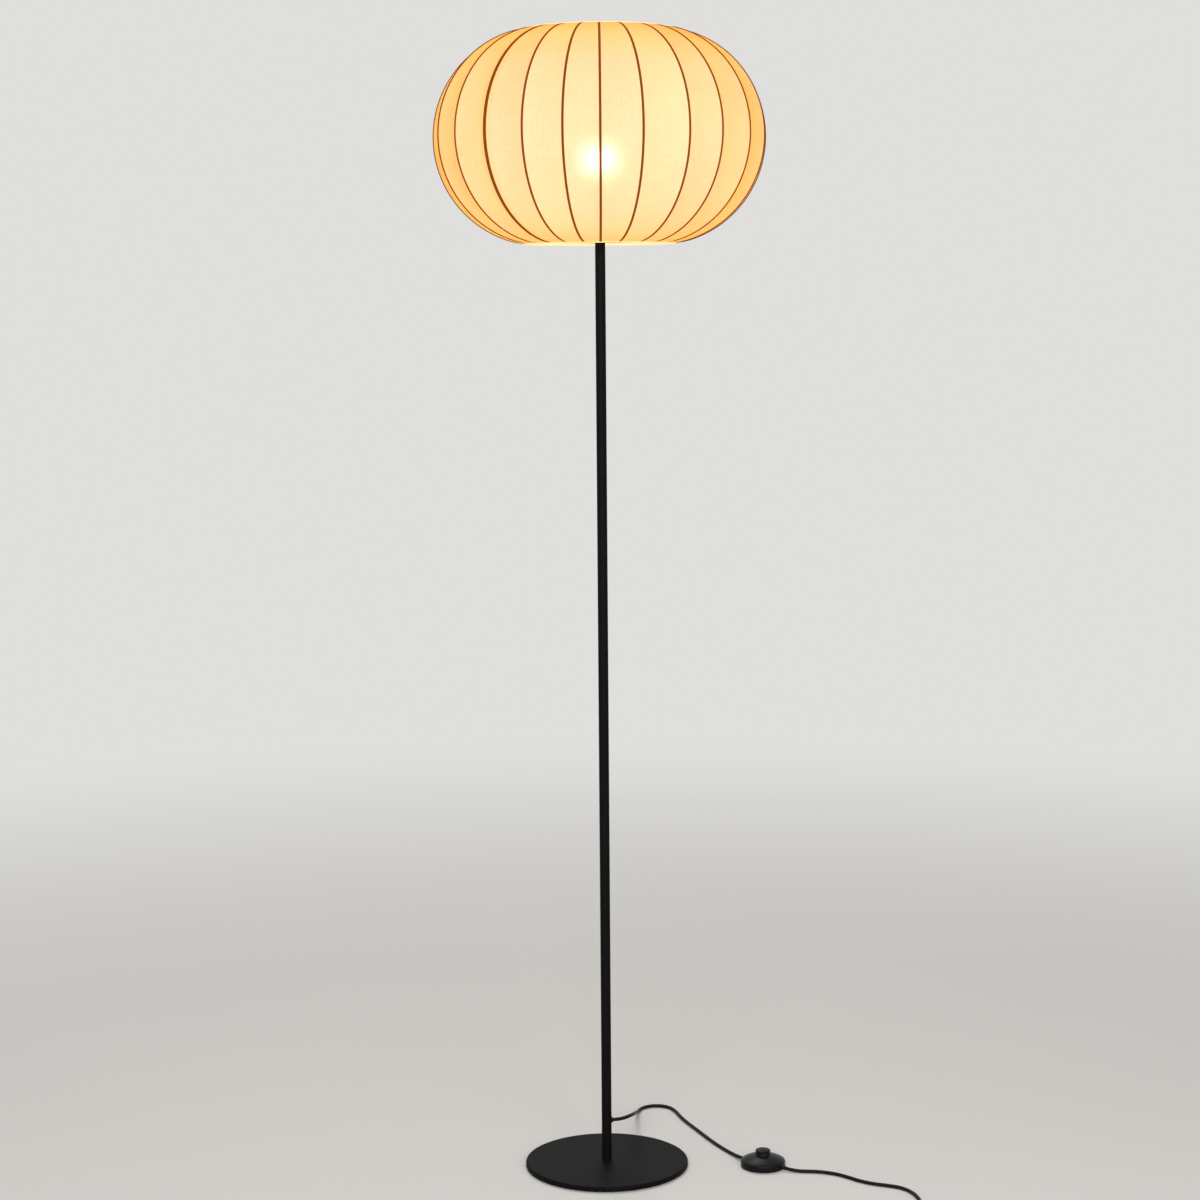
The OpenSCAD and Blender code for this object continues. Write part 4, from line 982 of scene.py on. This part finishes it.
def plug_shell():
    """A moulded plug: at each x a section y = w|cos q|^(2/n), z = h|sin q|^(2/n), which goes
    from a flat rounded body to a round sleeve with grooves that let it bend."""
    x = np.linspace(0, BODY_X[-1], BODY_STEPS)
    w = softened(np.interp(x, BODY_X, BODY_W))
    h = softened(np.interp(x, BODY_X, BODY_H))
    n = np.interp(x, BODY_X, BODY_SQUARE)
    on_grip = (x > GRIP_FROM_TO[0]) & (x < GRIP_FROM_TO[1])
    grip = GRIP_DEPTH * np.clip(np.sin((x - GRIP_FIRST) * 2 * np.pi / GRIP_PITCH), 0, 1) * on_grip
    sx = np.linspace(*SLEEVE_X, SLEEVE_STEPS)
    groove = np.clip(np.sin((sx - GROOVE_FIRST) * 2 * np.pi / GROOVE_PITCH) - 0.1, 0, 1) ** 0.6
    sr = np.interp(sx, SLEEVE_X, SLEEVE_R) - GROOVE_DEPTH * groove * (sx < GROOVE_LAST)
    x = np.concatenate([[0], x, sx, [TIP_X]])
    w = np.concatenate([[0], w - grip, sr, [TIP_R]])
    h = np.concatenate([[0], h, sr, [TIP_R]])
    n = np.concatenate([[BODY_SQUARE[0]], n, np.full(len(sx) + 1, 2.0)])
    q = circle(PLUG_SIDES)
    c, s = np.cos(q)[None], np.sin(q)[None]
    y = w[:, None] * np.sign(c) * np.abs(c) ** (2 / n[:, None])
    z = h[:, None] * np.sign(s) * np.abs(s) ** (2 / n[:, None])
    grid = np.stack([x[:, None] + 0 * y, y, z], -1)
    grid = np.concatenate([grid, grid[-1:] * [1, 0, 0]])
    grid = grid * MM + PLUG_AT
    return piece("plug_shell", grid, quads(*grid.shape[:2]), sharp_deg=35)


plug = plug_shell()


# Strap round the coil

STRAP_T = 0.0008
STRAP_SQUARE = 9
STRAP_STEPS = 96
# Its section, in half thicknesses and half widths
STRAP_EDGE = np.array([
    [-1, -0.9], [-0.55, -1], [0.55, -1], [1, -0.9], [1, 0.9], [0.55, 1], [-0.55, 1], [-1, 0.9],
])
# How much of the strap the UVs show, along it and round its section
STRAP_RUN = 0.06
STRAP_ROUND = 0.018


def coil_strap():
    """A strap bent round the turns: a rounded box in the XZ plane, |x|^n + |z|^n = 1, carried
    across its width, with rounded edges."""
    low_t, high_t = np.array(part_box("coil_tie"))
    mid, half = (low_t + high_t) / 2, (high_t - low_t) / 2
    q = circle(STRAP_STEPS)
    c, s = np.cos(q), np.sin(q)
    x = (half[0] - STRAP_T / 2) * np.sign(c) * np.abs(c) ** (2 / STRAP_SQUARE)
    z = (half[2] - STRAP_T / 2) * np.sign(s) * np.abs(s) ** (2 / STRAP_SQUARE)
    loop = np.stack([x, 0 * x, z], -1)
    along = np.roll(loop, -1, 0) - np.roll(loop, 1, 0)
    along /= np.linalg.norm(along, axis=1, keepdims=True)
    out = np.stack([along[:, 2], 0 * x, -along[:, 0]], -1)
    thick = out[:, None, :] * (STRAP_EDGE[:, 0] * STRAP_T / 2)[None, :, None]
    wide = np.array([0, 1, 0]) * (STRAP_EDGE[:, 1] * half[1])[None, :, None]
    grid = loop[:, None, :] + (thick + wide) + mid
    corners = len(STRAP_EDGE)
    run = np.linspace(0, STRAP_RUN, STRAP_STEPS + 1)[:, None]
    around = np.linspace(0, STRAP_ROUND, corners + 1)[None]
    faces = quads(STRAP_STEPS, corners, ring_rows=True)
    return piece("coil_strap", grid, faces, corner_uv(around, run), 50)


strap = coil_strap()


# Finishes of the solids and of the new pieces

def dress(material, *names):
    """Gives solids of the lamp their material."""
    for name in names:
        mesh = nodes[name].data
        mesh.materials.clear()
        mesh.materials.append(material)


def dress_piece(obj, material, body, *replaced):
    """Gives a new piece its material, its body and the solids that it stands for."""
    obj.data.materials.append(material)
    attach(obj, body)
    if replaced:
        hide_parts(*replaced)


dress(black_paint, "base_plate", "pole_lower", "pole_middle", "pole_upper")
dress(
    zinc, "base_washer", "base_bolt", "foot_insert", "pole_studs", "top_insert", "holder_nipple",
    "lock_nut", "switch_screws",
)
dress(
    black_plastic, "cord_bush", "holder_cap", "holder_sleeve", "clamp_ring_lower", "clamp_ring_upper",
    "switch_base", "plug_insulators",
)
dress(gloss_black, "switch_cover")
dress(foam, "base_pad", "switch_feet")
dress(ceramic, "holder_insulator")
dress(brass, "holder_contacts", "switch_terminals")
dress(copper, "holder_cores", "switch_cores")
dress(nickel, "bulb_contact", "bulb_cap", "plug_pins")
dress(white_plastic, "bulb_board", "switch_mechanism")
dress(lit_finish("opal_globe", GLOBE_DIMS, (1.0, 0.15)), "bulb_globe")
dress(lit_finish("bulb_collar", COLLAR_LIGHTS, (0.0, 1.0)), "bulb_body")
dress(carrier_steel, "shade_carrier")
dress(brown_paint, "bottom_hoop", "top_hoop", "shade_ribs")
dress(cord_sheath, "pole_cord")

dress_piece(cord_to_switch, cord_sheath, "lamp", "lamp_lead")
dress_piece(cord_to_plug, cord_sheath, "lamp", "wall_lead", "cord_coil", "plug_lead")
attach(cloth, "lamp")
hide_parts("cover_front", "cover_back")
dress_piece(top_binding, tape_material, "lamp", "top_hem")
dress_piece(bottom_binding, tape_material, "lamp", "bottom_hem")
dress_piece(top_stitches, tape_material, "lamp")
dress_piece(bottom_stitches, tape_material, "lamp")
dress_piece(beads, brown_paint, "lamp")
dress_piece(button, gloss_black, "button", "switch_button")
dress_piece(spring, zinc, "lamp", "switch_spring")
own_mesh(spring)
dress_piece(plug, black_plastic, "lamp", "plug_body")
dress_piece(strap, strap_finish(), "lamp", "coil_tie")


# Floor and light

PALE = (0.74, 0.735, 0.72)
SOFT_LIGHT = (1.0, 0.99, 0.97)
SOFT_STRENGTH = 0.22
LAMP_LIGHT = (1.0, 0.98, 0.95)
FLOOR_TONES = ((0.88, 0.872, 0.86), (0.92, 0.912, 0.90))
FLOOR_RINGS = np.array([0.0, 1.0, 2.5, 5.0, 9.0, 16.0, 30.0])
FLOOR_STEPS = 64
FLOOR_Z = -0.0002
FLOOR_FADES = (0.9, 3.6)


def lay_floor():
    """A flat ring of ground round a small disc, which fades into the backdrop far away."""
    rings = len(FLOOR_RINGS)
    grid = lathe_grid(np.stack([FLOOR_RINGS, np.full(rings, FLOOR_Z)], -1), FLOOR_STEPS)
    mesh = bpy.data.meshes.new("floor")
    mesh.from_pydata(grid.reshape(-1, 3).tolist(), [], quads(rings, FLOOR_STEPS).tolist())
    floor = bpy.data.objects.new("floor", mesh)
    scene.collection.objects.link(floor)
    material, tree, shader = blank("floor_paint")
    place = object_place(tree)
    fine = noise(tree, place, 300.0, detail=4.0)
    slow = noise(tree, place, 1.3)
    tone = weighted(tree, fine, 0.4, slow)
    fill(
        tree, shader, Roughness=0.8, Specular_IOR_Level=0.2,
        Base_Color=blend_colour(tree, tone, *FLOOR_TONES),
    )
    distance = add(tree, "ShaderNodeVectorMath", {"operation": "LENGTH"}, s0=place).outputs["Value"]
    fade = remap(tree, distance, *FLOOR_FADES, smooth=True)
    clear = add(tree, "ShaderNodeBsdfTransparent").outputs[0]
    mixed = add(tree, "ShaderNodeMixShader", s0=fade, s1=shader.outputs[0], s2=clear).outputs[0]
    tree.links.new(mixed, tree.nodes["Material Output"].inputs["Surface"])
    mesh.materials.append(material)


def light_world():
    """Even soft light, and the pale backdrop that the camera and reflections see."""
    world = bpy.data.worlds.new("studio")
    scene.world = world
    world.use_nodes = True
    tree = world.node_tree
    tree.nodes.clear()
    rays = add(tree, "ShaderNodeLightPath")
    seen = math_node(tree, "MAXIMUM", rays.outputs["Is Camera Ray"], rays.outputs["Is Glossy Ray"])
    seen = math_node(tree, "MAXIMUM", seen, rays.outputs["Is Transmission Ray"])
    soft = add(tree, "ShaderNodeBackground", Color=rgba(SOFT_LIGHT), Strength=SOFT_STRENGTH).outputs[0]
    pale = add(tree, "ShaderNodeBackground", Color=rgba(PALE), Strength=1.0).outputs[0]
    mixed = add(tree, "ShaderNodeMixShader", s0=seen, s1=soft, s2=pale).outputs[0]
    add(tree, "ShaderNodeOutputWorld", Surface=mixed)


def softbox(name, at, aim, size, power):
    """A square lamp at one point, turned to face another."""
    lamp = bpy.data.lights.new(name, "AREA")
    lamp.shape = "SQUARE"
    lamp.size = size
    lamp.energy = power
    lamp.color = LAMP_LIGHT
    holder = bpy.data.objects.new(name, lamp)
    scene.collection.objects.link(holder)
    holder.location = at
    x, y, z = np.subtract(aim, at)
    holder.rotation_euler = (math.atan2(math.hypot(x, y), -z), 0, math.atan2(y, x) - math.pi / 2)


lay_floor()
light_world()
softbox("key", at=(-0.5, -3.7, 1.75), aim=(0, 0, 1.2), size=1.5, power=74)
softbox("fill", at=(1.3, -3.3, 1.5), aim=(0, 0, 1.0), size=1.5, power=34)
softbox("top", at=(0.2, 1.6, 5.0), aim=(0, 0, 0), size=2.8, power=20)
softbox("back", at=(-0.6, 2.8, 4.4), aim=(0, 0, 0.6), size=1.8, power=52)
